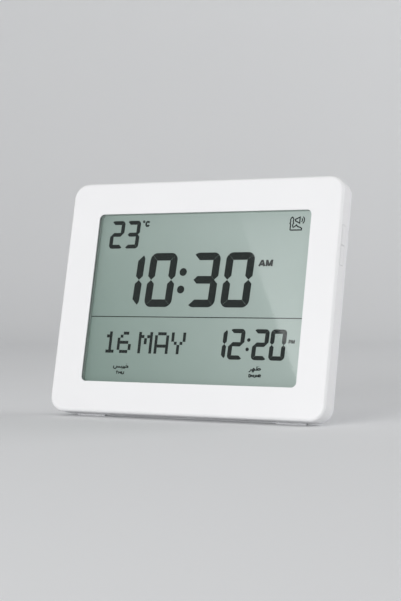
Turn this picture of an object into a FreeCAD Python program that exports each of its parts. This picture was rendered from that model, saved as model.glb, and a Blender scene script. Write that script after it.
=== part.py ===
"""Azan clock: a desk and wall prayer clock with a wide LCD, on a folding rear leg.

Every piece is drawn in the casing's own frame: x to the right, y into the casing
from the front face, z up from the bottom edge. The casing then leans back on its
leg, and the whole clock is centred over the surface that it stands on.
"""

import FreeCAD, Part

import math
import os

import Sketcher
from FreeCAD import Placement, Rotation, Vector

doc = FreeCAD.newDocument("azan_clock")

# ---------------------------------------------------------------- driving sizes

SIZES = [
    # casing
    ("case_width", "230", "overall width of the casing"),
    ("case_height", "182", "overall height of the casing"),
    ("rim_depth", "20", "depth of the casing at its rim"),
    ("back_depth", "31", "depth of the casing over the raised back"),
    ("parting_depth", "13", "front bezel meets rear cover here"),
    ("case_corner", "12", "corner radius of the outline"),
    ("front_round", "2.4", "rounding of the front edge"),
    ("rear_round", "3.6", "rounding of the rear edge"),
    ("rear_draft", "7", "draft of the rear cover's rim, degrees"),
    ("case_wall", "2.4", "wall of the front bezel"),
    ("cover_wall", "2.2", "wall of the rear cover"),
    ("lean_back", "13", "lean of the standing casing, degrees"),
    ("overlap", "0.5", "how far joined features of one piece run into each other"),
    ("tongue_thick", "1.2", "tongue of the rear cover inside the bezel"),
    ("tongue_height", "2", "tongue ahead of the parting line"),
    ("tongue_root", "1.5", "root of the tongue behind the parting line"),
    ("tongue_gap", "0.15", "clearance between the tongue and the bezel"),
    # raised back
    ("back_side_step", "17", "rim left and right of the raised back"),
    ("back_bottom", "14", "lower edge of the raised back"),
    ("back_top_step", "34", "rim above the raised back"),
    ("back_side_wall", "3.3", "side wall of the raised back"),
    ("back_corner", "14", "corner radius of the raised back"),
    ("back_draft", "6", "draft of the raised back, degrees"),
    ("back_round", "2.2", "rounding round the raised back"),
    # display window
    ("border_left", "26", "bezel left of the window"),
    ("border_right", "24", "bezel right of the window"),
    ("border_bottom", "23.8", "bezel below the window"),
    ("border_top", "25.7", "bezel above the window"),
    ("window_corner", "4", "corner radius of the display window"),
    ("window_lip", "0.8", "lip of the bezel in front of the lens"),
    ("lens_ledge", "4", "ledge that the lens is bonded to"),
    ("lens_gap", "0.15", "clearance round the lens"),
    ("frame_depth", "2.2", "depth of the dark frame behind the lens"),
    ("frame_border", "7", "width of the dark frame"),
    # display stack
    ("film_thick", "0.2", "polariser and reflector film"),
    ("glass_thick", "1.1", "one glass of the LCD cell"),
    ("glass_margin", "3", "LCD glass beyond the window"),
    ("contact_ledge", "3", "rear glass beyond the front glass at the top"),
    ("guide_thick", "3.8", "light guide"),
    ("holder_wall", "2", "side wall of the display holder"),
    ("holder_floor", "1.5", "floor of the display holder"),
    ("holder_gap", "0.5", "clearance of the glass in its holder"),
    ("strip_height", "2", "rubber contact strip"),
    ("strip_room", "2", "room for the backlight strip beside the light guide"),
    ("strip_board", "1", "board of the backlight strip"),
    ("led_count", "4", "light sources on the strip"),
    ("led_length", "6.6", "one light source"),
    ("led_inset", "0.5", "light source in from the faces of the light guide"),
    # circuit board
    ("board_thick", "1.6", "circuit boards"),
    ("board_side_gap", "18", "main board to the side of the casing"),
    ("board_lift", "6.6", "main board above the battery bay"),
    ("board_top_gap", "8", "main board to the top of the casing"),
    ("chip_radius", "9", "black cap over the controller chip"),
    ("chip_height", "2.3", "black cap over the controller chip"),
    ("chip_slope", "2.4", "sloping edge of that cap"),
    ("chip_left", "20", "chip left of the middle"),
    ("chip_lift", "28", "chip above the board's lower edge"),
    ("crystal_length", "8", "clock crystal, lying on the board"),
    ("crystal_radius", "1.5", "clock crystal"),
    ("crystal_right", "12", "clock crystal right of the middle"),
    ("crystal_lift", "24", "clock crystal above the board's lower edge"),
    ("capacitor_radius", "3.2", "supply capacitor"),
    ("capacitor_height", "7", "supply capacitor"),
    ("capacitor_rim", "0.5", "rolled rim of the capacitor's can"),
    ("capacitor_right", "40", "capacitor right of the middle"),
    ("capacitor_lift", "16", "capacitor above the board's lower edge"),
    # case screws
    ("screw_side", "12", "screws to the side of the casing"),
    ("screw_low", "12", "lower pair above the bottom edge"),
    ("screw_drop", "7", "middle pair below half height"),
    ("screw_top", "12", "upper pair below the top edge"),
    ("boss_radius", "3.5", "screw bosses of the bezel"),
    ("post_radius", "3.9", "screw posts of the rear cover"),
    ("screw_radius", "1.25", "screw thread"),
    ("screw_head", "2.7", "radius of the screw head"),
    ("screw_head_thick", "1.8", "thickness of the screw head"),
    ("screw_head_edge", "1.1", "straight edge of the screw head"),
    ("screw_head_flat", "1.9", "radius of the flat on the screw head"),
    ("screw_clear", "0.3", "clearance of a screw in the rear cover"),
    ("screw_bite", "8", "length of thread in the bezel boss"),
    ("screw_seat", "3.4", "depth of the screw head's seat"),
    ("shaft_gap", "0.08", "radial clearance of pins and screws"),
    # rear buttons
    ("key_count", "6", "round buttons on the back"),
    ("key_pitch", "15", "spacing of the round buttons"),
    ("key_drop", "17", "row of round buttons below the top edge"),
    ("key_radius", "3.4", "round button"),
    ("key_proud", "1.1", "round button beyond the cover"),
    ("key_edge", "0.4", "broken edge of every button"),
    ("key_gap", "0.25", "clearance round every button"),
    ("key_travel", "0.6", "stroke of every button"),
    ("flange_thick", "0.8", "retaining flange of every button"),
    ("flange_reach", "0.9", "flange beyond the button's cap"),
    ("key_stem", "1.5", "radius of the stem under every button"),
    ("switch_side", "6", "square body of a tact switch"),
    ("switch_height", "1.2", "body of a tact switch"),
    ("switch_plunger", "0.5", "plunger above the body of a tact switch"),
    ("plunger_radius", "1.6", "plunger of a tact switch"),
    ("seat_gap", "0.1", "small clearance between a piece and its stop or seat"),
    # side buttons
    ("side_key_drop", "36.65", "top of the upper side button below the top edge"),
    ("side_key_length", "14.9", "length of one side button"),
    ("side_key_width", "6", "width of one side button, front to back"),
    ("side_key_depth", "6.6", "middle of the side buttons behind the front face"),
    ("side_key_proud", "0.15", "side button beyond the wall"),
    ("side_key_stem", "0.4", "stem behind a side button's flange"),
    # stand
    ("leg_width", "40", "width of the folding leg at its hinge"),
    ("leg_tip_width", "30", "width of the leg at its free end"),
    ("leg_foot_gap", "4.5", "folded leg's bead above the bottom edge"),
    ("leg_thick", "2.6", "plate of the leg"),
    ("leg_barrel", "2.6", "radius of the hinge barrel"),
    ("leg_pin", "1.8", "radius of the hinge pins"),
    ("leg_pin_reach", "1.6", "hinge pins beyond the barrel"),
    ("leg_hinge_height", "92", "hinge above the bottom edge"),
    ("leg_corner", "6", "corner radius at the free end"),
    ("leg_rim_width", "1.6", "stiffening rim along the edges of the leg"),
    ("leg_rim_height", "0.9", "stiffening rim above the plate"),
    ("leg_slot_width", "6.5", "each of the two long slots in the plate"),
    ("leg_slot_corner", "2.2", "corner radius of the slots"),
    ("leg_slot_low", "16", "slots above the free end"),
    ("leg_slot_high", "14", "slots below the hinge"),
    ("leg_rib", "5", "rib between the two slots"),
    ("leg_gap", "0.3", "clearance round the barrel"),
    ("leg_side_gap", "0.5", "clearance beside the leg"),
    ("stop_gap", "0.12", "left between the open leg's heel and its stop"),
    ("bead_radius", "2.2", "rubber bead on the free end"),
    ("bead_width", "26", "length of the rubber bead"),
    ("bead_grip", "1.1", "how far the leg's end sits in the bead"),
    ("recess_floor", "2.4", "wall behind the recess of the leg"),
    # rubber pads under the casing
    ("pad_side", "31", "middle of a pad to the side of the casing"),
    ("pad_width", "24", "length of one rubber pad"),
    ("pad_front", "13.8", "front edge of the pads"),
    ("pad_back", "17", "rear edge of the pads"),
    ("pad_proud", "0.35", "pad below the casing at its rear edge"),
    ("pad_sunk", "1.2", "pad let into the casing"),
    # battery bay
    ("cell_radius", "7.1", "AA cell"),
    ("cell_length", "49.5", "AA cell without its button"),
    ("cell_count", "3", "AA cells side by side"),
    ("cell_pitch", "15", "spacing of the cells"),
    ("cell_spare", "1", "room left over beside the cells"),
    ("cell_button_radius", "2.6", "positive button of a cell"),
    ("cell_button_length", "1", "height of the positive button"),
    ("cell_edge", "0.6", "rounded ends of a cell"),
    ("spring_length", "6.2", "contact spring, pressed by the cell"),
    ("spring_radius", "4", "base of the contact spring"),
    ("spring_tip", "2.4", "tip of the contact spring"),
    ("contact_thick", "0.4", "contact plate"),
    ("contact_side", "11", "square contact plate"),
    ("bay_side", "5", "battery bay to the side of the raised back"),
    ("bay_lift", "10", "battery bay above the lower edge of the raised back"),
    ("bay_rib_width", "1.6", "low rib between two cells"),
    ("bay_rib_height", "2.6", "low rib between two cells"),
    ("bay_rib_gap", "8", "ribs end short of the contacts"),
    ("bay_wall", "3.4", "walls of the battery bay"),
    ("bay_floor", "1.4", "floor of the battery bay"),
    # battery door
    ("door_thick", "2", "plate of the battery door"),
    ("door_ledge", "1.4", "ledge that the closed door lies on"),
    ("door_gap", "0.3", "clearance round the door"),
    ("door_lift", "0.1", "left between the closed door and its ledge"),
    ("door_barrel", "1.8", "radius of the door's hinge barrel"),
    ("door_pin", "0.9", "radius of the door's hinge pins"),
    ("door_pin_reach", "1.4", "hinge pins beyond the door"),
    ("thumb_radius", "7", "thumb notch of the door"),
    ("thumb_depth", "0.8", "depth of the thumb notch"),
    ("grip_count", "3", "grip ridges in the thumb notch"),
    ("grip_pitch", "1.6", "spacing of the grip ridges"),
    ("grip_width", "0.7", "one grip ridge"),
    ("grip_length", "7", "one grip ridge"),
    ("grip_height", "0.5", "one grip ridge above the notch"),
    ("grip_edge", "1", "first grip ridge to the door's edge"),
    # speaker
    ("speaker_radius", "25", "loudspeaker"),
    ("speaker_side", "34", "its middle to the side of the raised back"),
    ("speaker_lift", "33", "its middle above the lower edge of the raised back"),
    ("speaker_depth", "13", "loudspeaker from flange to magnet"),
    ("basket_flange", "1", "flange of the loudspeaker's basket"),
    ("basket_rim", "3", "width of that flange"),
    ("basket_sheet", "0.8", "sheet metal of the basket"),
    ("basket_hole", "4", "hole of the basket over the magnet"),
    ("cone_border", "4", "flat border of the basket round the cone"),
    ("cone_lip", "1", "glued lip of the cone"),
    ("cone_depth", "5.6", "depth of the loudspeaker cone"),
    ("cone_thick", "0.6", "paper of the cone"),
    ("magnet_radius", "13", "loudspeaker magnet"),
    ("magnet_thick", "5", "loudspeaker magnet"),
    ("collar_wall", "1.5", "collar round the loudspeaker"),
    ("collar_depth", "5", "depth of that collar"),
    ("grille_radius", "23.5", "perforated grille"),
    ("grille_thick", "1.4", "perforated grille"),
    ("grille_ledge", "1.5", "ledge that the grille is set on"),
    ("grille_hole", "1.4", "radius of a hole in the grille"),
    ("grille_pitch", "5.4", "rings of holes in the grille"),
    ("grille_rings", "3", "rings of holes in the grille"),
    # wall hanging
    ("keyhole_drop", "20", "round entry below the top of the raised back"),
    ("keyhole_radius", "4.5", "round entry of the keyhole"),
    ("keyhole_slot", "4.4", "width of the keyhole's slot"),
    ("keyhole_rise", "9", "slot above the round entry"),
]

sheet = doc.addObject("Spreadsheet::Sheet", "Sizes")
for row, (alias, text, note) in enumerate(SIZES, start=1):
    sheet.set(f"A{row}", note)
    sheet.set(f"B{row}", text)
    sheet.setAlias(f"B{row}", alias)
doc.recompute()


class Dim:
    """A size that carries its value now and the sheet formula behind it."""

    def __init__(self, value, text):
        self.value = float(value)
        self.text = text

    @staticmethod
    def of(other):
        return other if isinstance(other, Dim) else Dim(other, repr(other))

    def combine(self, other, sign, value):
        return Dim(value, f"({self.text} {sign} {Dim.of(other).text})")

    def __add__(self, other):
        return self.combine(other, "+", self.value + Dim.of(other).value)

    def __sub__(self, other):
        return self.combine(other, "-", self.value - Dim.of(other).value)

    def __mul__(self, other):
        return self.combine(other, "*", self.value * Dim.of(other).value)

    def __truediv__(self, other):
        return self.combine(other, "/", self.value / Dim.of(other).value)

    def __neg__(self):
        return Dim(-self.value, f"(-{self.text})")

    def __radd__(self, other):
        return Dim.of(other) + self

    def __rsub__(self, other):
        return Dim.of(other) - self

    def __rmul__(self, other):
        return Dim.of(other) * self


def sine(angle):
    return Dim(math.sin(math.radians(angle.value)), f"sin({angle.text})")


def cosine(angle):
    return Dim(math.cos(math.radians(angle.value)), f"cos({angle.text})")


def angle_of_cosine(share):
    return Dim(math.degrees(math.acos(share.value)), f"(acos({share.text}) / 1deg)")


class Sheet:
    """The driving sizes by name, each as a Dim."""

    def __getattr__(self, alias):
        return Dim(sheet.get(alias), f"Sizes.{alias}")


size = Sheet()
ZERO = Dim(0, "0")

# ------------------------------------------------------------- drawing helpers


def bind(feature, prop, dim):
    """Drive one property of a feature by a sheet formula."""
    feature.setExpression(prop, Dim.of(dim).text)


def new_body(label):
    body = doc.addObject("PartDesign::Body", label)
    body.Label = label
    return body


def origin_plane(body, role):
    return next(item for item in body.Origin.OriginFeatures if item.Role == role)


def new_sketch(body, name, role, offset=ZERO):
    """A sketch on one of the body's own origin planes, moved along its normal."""
    sketch = body.newObject("Sketcher::SketchObject", name)
    sketch.AttachmentSupport = [(origin_plane(body, role), "")]
    sketch.MapMode = "FlatFace"
    offset = Dim.of(offset)
    sketch.AttachmentOffset = Placement(Vector(0, 0, offset.value), Rotation())
    bind(sketch, "AttachmentOffset.Base.z", offset)
    return sketch


def fix_point(sketch, geometry, corner, across, up):
    """Hold one point of a sketch at its distances from the sketch's origin."""
    for kind, axis, dim in (("DistanceX", -2, across), ("DistanceY", -1, up)):
        dim = Dim.of(dim)
        if dim.value == 0 and dim.text in ("0", "0.0"):
            sketch.addConstraint(Sketcher.Constraint("PointOnObject", geometry, corner, axis))
            continue
        index = sketch.addConstraint(
            Sketcher.Constraint(kind, -1, 1, geometry, corner, dim.value)
        )
        bind(sketch, f"Constraints[{index}]", dim)


def polygon(sketch, points):
    """A closed outline of straight lines."""
    spots = [Vector(Dim.of(across).value, Dim.of(up).value, 0) for across, up in points]
    first = sketch.GeometryCount
    count = len(spots)
    for index in range(count):
        sketch.addGeometry(Part.LineSegment(spots[index], spots[(index + 1) % count]))
    for index in range(count):
        following = first + (index + 1) % count
        sketch.addConstraint(Sketcher.Constraint("Coincident", first + index, 2, following, 1))
    for index, (across, up) in enumerate(points):
        fix_point(sketch, first + index, 1, across, up)


def rectangle(sketch, left, bottom, right, top):
    polygon(sketch, [(left, bottom), (right, bottom), (right, top), (left, top)])


def circle(sketch, across, up, radius):
    radius = Dim.of(radius)
    centre = Vector(Dim.of(across).value, Dim.of(up).value, 0)
    index = sketch.addGeometry(Part.Circle(centre, Vector(0, 0, 1), radius.value))
    fix_point(sketch, index, 3, across, up)
    number = sketch.addConstraint(Sketcher.Constraint("Radius", index, radius.value))
    bind(sketch, f"Constraints[{number}]", radius)


def rounded(sketch, left, bottom, right, top, radius):
    """A rectangle with four equal round corners, tangent all the way round."""
    x0, z0, x1, z1 = (Dim.of(edge).value for edge in (left, bottom, right, top))
    r = Dim.of(radius).value
    corners = [
        (Vector(x1 - r, z0 + r, 0), -90),
        (Vector(x1 - r, z1 - r, 0), 0),
        (Vector(x0 + r, z1 - r, 0), 90),
        (Vector(x0 + r, z0 + r, 0), 180),
    ]
    starts = [
        (Vector(x0 + r, z0, 0), Vector(x1 - r, z0, 0)),
        (Vector(x1, z0 + r, 0), Vector(x1, z1 - r, 0)),
        (Vector(x1 - r, z1, 0), Vector(x0 + r, z1, 0)),
        (Vector(x0, z1 - r, 0), Vector(x0, z0 + r, 0)),
    ]
    lines = []
    arcs = []
    for (begin, end), (centre, turn) in zip(starts, corners):
        lines.append(sketch.addGeometry(Part.LineSegment(begin, end)))
        ring = Part.Circle(centre, Vector(0, 0, 1), r)
        arc = Part.ArcOfCircle(ring, math.radians(turn), math.radians(turn + 90))
        arcs.append(sketch.addGeometry(arc))
    for index in range(4):
        following = lines[(index + 1) % 4]
        sketch.addConstraint(Sketcher.Constraint("Tangent", lines[index], 2, arcs[index], 1))
        sketch.addConstraint(Sketcher.Constraint("Tangent", arcs[index], 2, following, 1))
    for index in (0, 2):
        sketch.addConstraint(Sketcher.Constraint("Horizontal", lines[index]))
        sketch.addConstraint(Sketcher.Constraint("Vertical", lines[index + 1]))
    for index in (1, 2, 3):
        sketch.addConstraint(Sketcher.Constraint("Equal", arcs[0], arcs[index]))
    number = sketch.addConstraint(Sketcher.Constraint("Radius", arcs[0], r))
    bind(sketch, f"Constraints[{number}]", radius)
    for line, kind, edge in (
        (lines[3], "DistanceX", left),
        (lines[0], "DistanceY", bottom),
        (lines[1], "DistanceX", right),
        (lines[2], "DistanceY", top),
    ):
        edge = Dim.of(edge)
        number = sketch.addConstraint(Sketcher.Constraint(kind, -1, 1, line, 1, edge.value))
        bind(sketch, f"Constraints[{number}]", edge)


def named_edges(feature, keep):
    """Names of the edges of a finished feature that pass a test of their own."""
    doc.recompute()
    edges = feature.Shape.Edges
    return [f"Edge{number}" for number, edge in enumerate(edges, start=1) if keep(edge)]


def slab(body, name, draw, front, back, draft=None):
    """Add material between two depths behind the front face."""
    sketch = new_sketch(body, f"{name}_outline", "XZ_Plane", -Dim.of(front))
    draw(sketch)
    pad = body.newObject("PartDesign::Pad", name)
    pad.Profile = sketch
    pad.Reversed = True
    bind(pad, "Length", Dim.of(back) - front)
    if draft is not None:
        bind(pad, "TaperAngle", -draft)
    return pad


def sink(body, name, draw, front, back):
    """Cut material away between two depths behind the front face."""
    sketch = new_sketch(body, f"{name}_outline", "XZ_Plane", -Dim.of(front))
    draw(sketch)
    pocket = body.newObject("PartDesign::Pocket", name)
    pocket.Profile = sketch
    bind(pocket, "Length", Dim.of(back) - front)
    return pocket


def cross_bar(body, name, draw, width):
    """Add a profile drawn in the y-z plane, half of its width to each side."""
    sketch = new_sketch(body, f"{name}_outline", "YZ_Plane")
    draw(sketch)
    pad = body.newObject("PartDesign::Pad", name)
    pad.Profile = sketch
    pad.Midplane = True
    bind(pad, "Length", width)
    return pad


def cross_bore(body, name, draw, width, middle=ZERO):
    """Cut a profile drawn in the y-z plane, half of its width to each side."""
    sketch = new_sketch(body, f"{name}_outline", "YZ_Plane", middle)
    draw(sketch)
    pocket = body.newObject("PartDesign::Pocket", name)
    pocket.Profile = sketch
    pocket.Midplane = True
    bind(pocket, "Length", width)
    return pocket


def turned(label, points, along="V_Axis"):
    """A piece of revolution: points are (radius, depth), or (length, radius) along x."""
    body = new_body(label)
    sketch = new_sketch(body, f"{label}_profile", "XY_Plane")
    polygon(sketch, points)
    turn = body.newObject("PartDesign::Revolution", f"{label}_turn")
    turn.Profile = sketch
    turn.ReferenceAxis = (sketch, [along])
    turn.Angle = 360
    return body


def side_pad(body, name, left, right, draw):
    """Add material between two distances right of the middle."""
    sketch = new_sketch(body, f"{body.Label}_{name}_outline", "YZ_Plane", left)
    draw(sketch)
    pad = body.newObject("PartDesign::Pad", f"{body.Label}_{name}")
    pad.Profile = sketch
    bind(pad, "Length", right - left)
    return pad


def round_over(body, name, feature, edges, radius):
    fillet = body.newObject("PartDesign::Fillet", name)
    fillet.Base = (feature, edges)
    bind(fillet, "Radius", radius)
    return fillet


# ---------------------------------------------------------- where pieces stand

parts = []


def in_case(across=ZERO, depth=ZERO, up=ZERO, turn=None):
    """Placement of a piece whose own origin lies at this point of the casing."""
    spot = Vector(Dim.of(across).value, Dim.of(depth).value, Dim.of(up).value)
    lean = Placement(Vector(), Rotation(Vector(1, 0, 0), -size.lean_back.value))
    return lean * Placement(spot, turn or Rotation())


def stand_at(body, across=ZERO, depth=ZERO, up=ZERO, turn=None):
    body.Placement = in_case(across, depth, up, turn)


def place(body, across=ZERO, depth=ZERO, up=ZERO, turn=None):
    """Stand a piece in the casing and list it as a part of its own."""
    stand_at(body, across, depth, up, turn)
    parts.append(body)


def gather(label, bodies):
    """List several like pieces as one part made of separate solids."""
    group = doc.addObject("Part::Compound", label)
    group.Label = label
    group.Links = bodies
    parts.append(group)


# ------------------------------------------------------------- derived depths

LENS_BACK = size.case_wall
FRAME_BACK = LENS_BACK + size.frame_depth
FILM_BACK = FRAME_BACK + size.film_thick
CELL_MIDDLE = FILM_BACK + size.glass_thick
CELL_BACK = CELL_MIDDLE + size.glass_thick
REFLECTOR_BACK = CELL_BACK + size.film_thick
GUIDE_BACK = REFLECTOR_BACK + size.guide_thick
HOLDER_BACK = GUIDE_BACK + size.holder_floor
BOARD_BACK = HOLDER_BACK + size.board_thick
RIM_INSIDE = size.rim_depth - size.cover_wall
BACK_INSIDE = size.back_depth - size.cover_wall

HALF_WIDTH = size.case_width / 2
WINDOW_LEFT = size.border_left - HALF_WIDTH
WINDOW_RIGHT = HALF_WIDTH - size.border_right
WINDOW_BOTTOM = size.border_bottom
WINDOW_TOP = size.case_height - size.border_top
GLASS_LEFT = WINDOW_LEFT - size.glass_margin
GLASS_RIGHT = WINDOW_RIGHT + size.glass_margin
GLASS_BOTTOM = WINDOW_BOTTOM - size.glass_margin
GLASS_TOP = WINDOW_TOP + size.glass_margin
HOLDER_LEFT = GLASS_LEFT - size.holder_gap - size.holder_wall
HOLDER_RIGHT = GLASS_RIGHT + size.holder_gap + size.holder_wall
HOLDER_BOTTOM = GLASS_BOTTOM - size.holder_gap - size.holder_wall
HOLDER_TOP = GLASS_TOP + size.contact_ledge + size.holder_gap + size.holder_wall

BACK_SIDE = HALF_WIDTH - size.back_side_step
BACK_TOP = size.case_height - size.back_top_step
KEYHOLE_HEIGHT = BACK_TOP - size.keyhole_drop
SPEAKER_COLUMN = BACK_SIDE - size.speaker_side
SPEAKER_HEIGHT = size.back_bottom + size.speaker_lift
PAD_COLUMN = HALF_WIDTH - size.pad_side

BAY_LEFT = size.bay_side - BACK_SIDE
BAY_RIGHT = (BAY_LEFT + size.cell_length + size.cell_button_length
             + size.spring_length + size.contact_thick * 2)
BAY_BOTTOM = size.back_bottom + size.bay_lift
BAY_TOP = BAY_BOTTOM + size.cell_pitch * size.cell_count + size.cell_spare
BAY_DEPTH = HOLDER_BACK + size.bay_floor
DOOR_LEFT = BAY_LEFT - size.door_ledge
DOOR_RIGHT = BAY_RIGHT + size.door_ledge
DOOR_BOTTOM = BAY_BOTTOM - size.door_ledge
DOOR_TOP = BAY_TOP + size.door_ledge
DOOR_HINGE_DEPTH = size.back_depth - size.door_barrel
DOOR_HINGE_HEIGHT = DOOR_BOTTOM + size.door_barrel

BOARD_SIDE = HALF_WIDTH - size.board_side_gap
BOARD_BOTTOM = BAY_TOP + size.bay_wall + size.board_lift
BOARD_TOP = size.case_height - size.board_top_gap

LEG_SIDE = size.leg_width / 2
LEG_LENGTH = size.leg_hinge_height - size.leg_foot_gap
LEG_HINGE_DEPTH = size.back_depth - size.leg_barrel
RECESS_DEPTH = LEG_HINGE_DEPTH - size.leg_barrel - size.leg_gap
RECESS_TOP = size.leg_hinge_height + size.leg_barrel * 2

SCREW_COLUMN = HALF_WIDTH - size.screw_side
SCREW_ROWS = [
    size.screw_low,
    size.case_height / 2 - size.screw_drop,
    size.case_height - size.screw_top,
]
SCREW_SPOTS = [
    (column, height) for height in SCREW_ROWS for column in (-SCREW_COLUMN, SCREW_COLUMN)
]
KEY_FIRST = (1 - size.key_count) * size.key_pitch / 2
KEY_ROW = size.case_height - size.key_drop
KEY_FLANGE = RIM_INSIDE - size.seat_gap
SIDE_FLANGE = HALF_WIDTH - size.case_wall - size.seat_gap - size.flange_thick
SWITCH_RISE = size.switch_height + size.switch_plunger
SIDE_KEY_BOTTOM = (size.case_height - size.side_key_drop - size.side_key_length * 2
                   - size.key_gap)
SIDE_BOARD = SIDE_FLANGE - size.side_key_stem - size.seat_gap - size.key_travel - SWITCH_RISE


# ------------------------------------------------------------------ casing


def bezel():
    """Front shell with the window, the screw bosses and the side button slots."""
    body = new_body("front_bezel")

    def outline(sketch):
        rounded(sketch, -HALF_WIDTH, ZERO, HALF_WIDTH, size.case_height, size.case_corner)

    def inside(sketch):
        wall = size.case_wall
        rounded(sketch, wall - HALF_WIDTH, wall, HALF_WIDTH - wall,
                size.case_height - wall, size.case_corner - wall)

    def window(sketch):
        rounded(sketch, WINDOW_LEFT, WINDOW_BOTTOM, WINDOW_RIGHT, WINDOW_TOP,
                size.window_corner)

    def ledge(sketch):
        reach = size.lens_ledge
        rounded(sketch, WINDOW_LEFT - reach, WINDOW_BOTTOM - reach,
                WINDOW_RIGHT + reach, WINDOW_TOP + reach, size.window_corner)

    shell = slab(body, "bezel_block", outline, ZERO, size.parting_depth)
    front = named_edges(shell, lambda edge: edge.BoundBox.YMax < 1e-6)
    round_over(body, "bezel_front_round", shell, front, size.front_round)
    sink(body, "bezel_inside", inside, size.case_wall, size.parting_depth)
    sink(body, "bezel_window", window, ZERO, size.case_wall)
    sink(body, "bezel_lens_ledge", ledge, size.window_lip, size.case_wall)
    for number, (column, height) in enumerate(SCREW_SPOTS, start=1):
        slab(body, f"bezel_boss_{number}",
             lambda sketch: circle(sketch, column, height, size.boss_radius),
             size.case_wall - size.overlap, size.parting_depth)
        sink(body, f"bezel_pilot_{number}",
             lambda sketch: circle(sketch, column, height, size.screw_radius + size.shaft_gap),
             size.parting_depth - size.screw_bite - size.overlap, size.parting_depth)
    side = size.side_key_width / 2 + size.key_gap
    for number in (0, 1):
        low = SIDE_KEY_BOTTOM + number * (size.side_key_length + size.key_gap)
        cross_bore(body, f"bezel_key_slot_{number + 1}",
                   lambda sketch: rectangle(sketch, size.side_key_depth - side,
                                            low, size.side_key_depth + side,
                                            low + size.side_key_length),
                   (size.case_wall + size.overlap) * 2, HALF_WIDTH)
    place(body)


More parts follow.
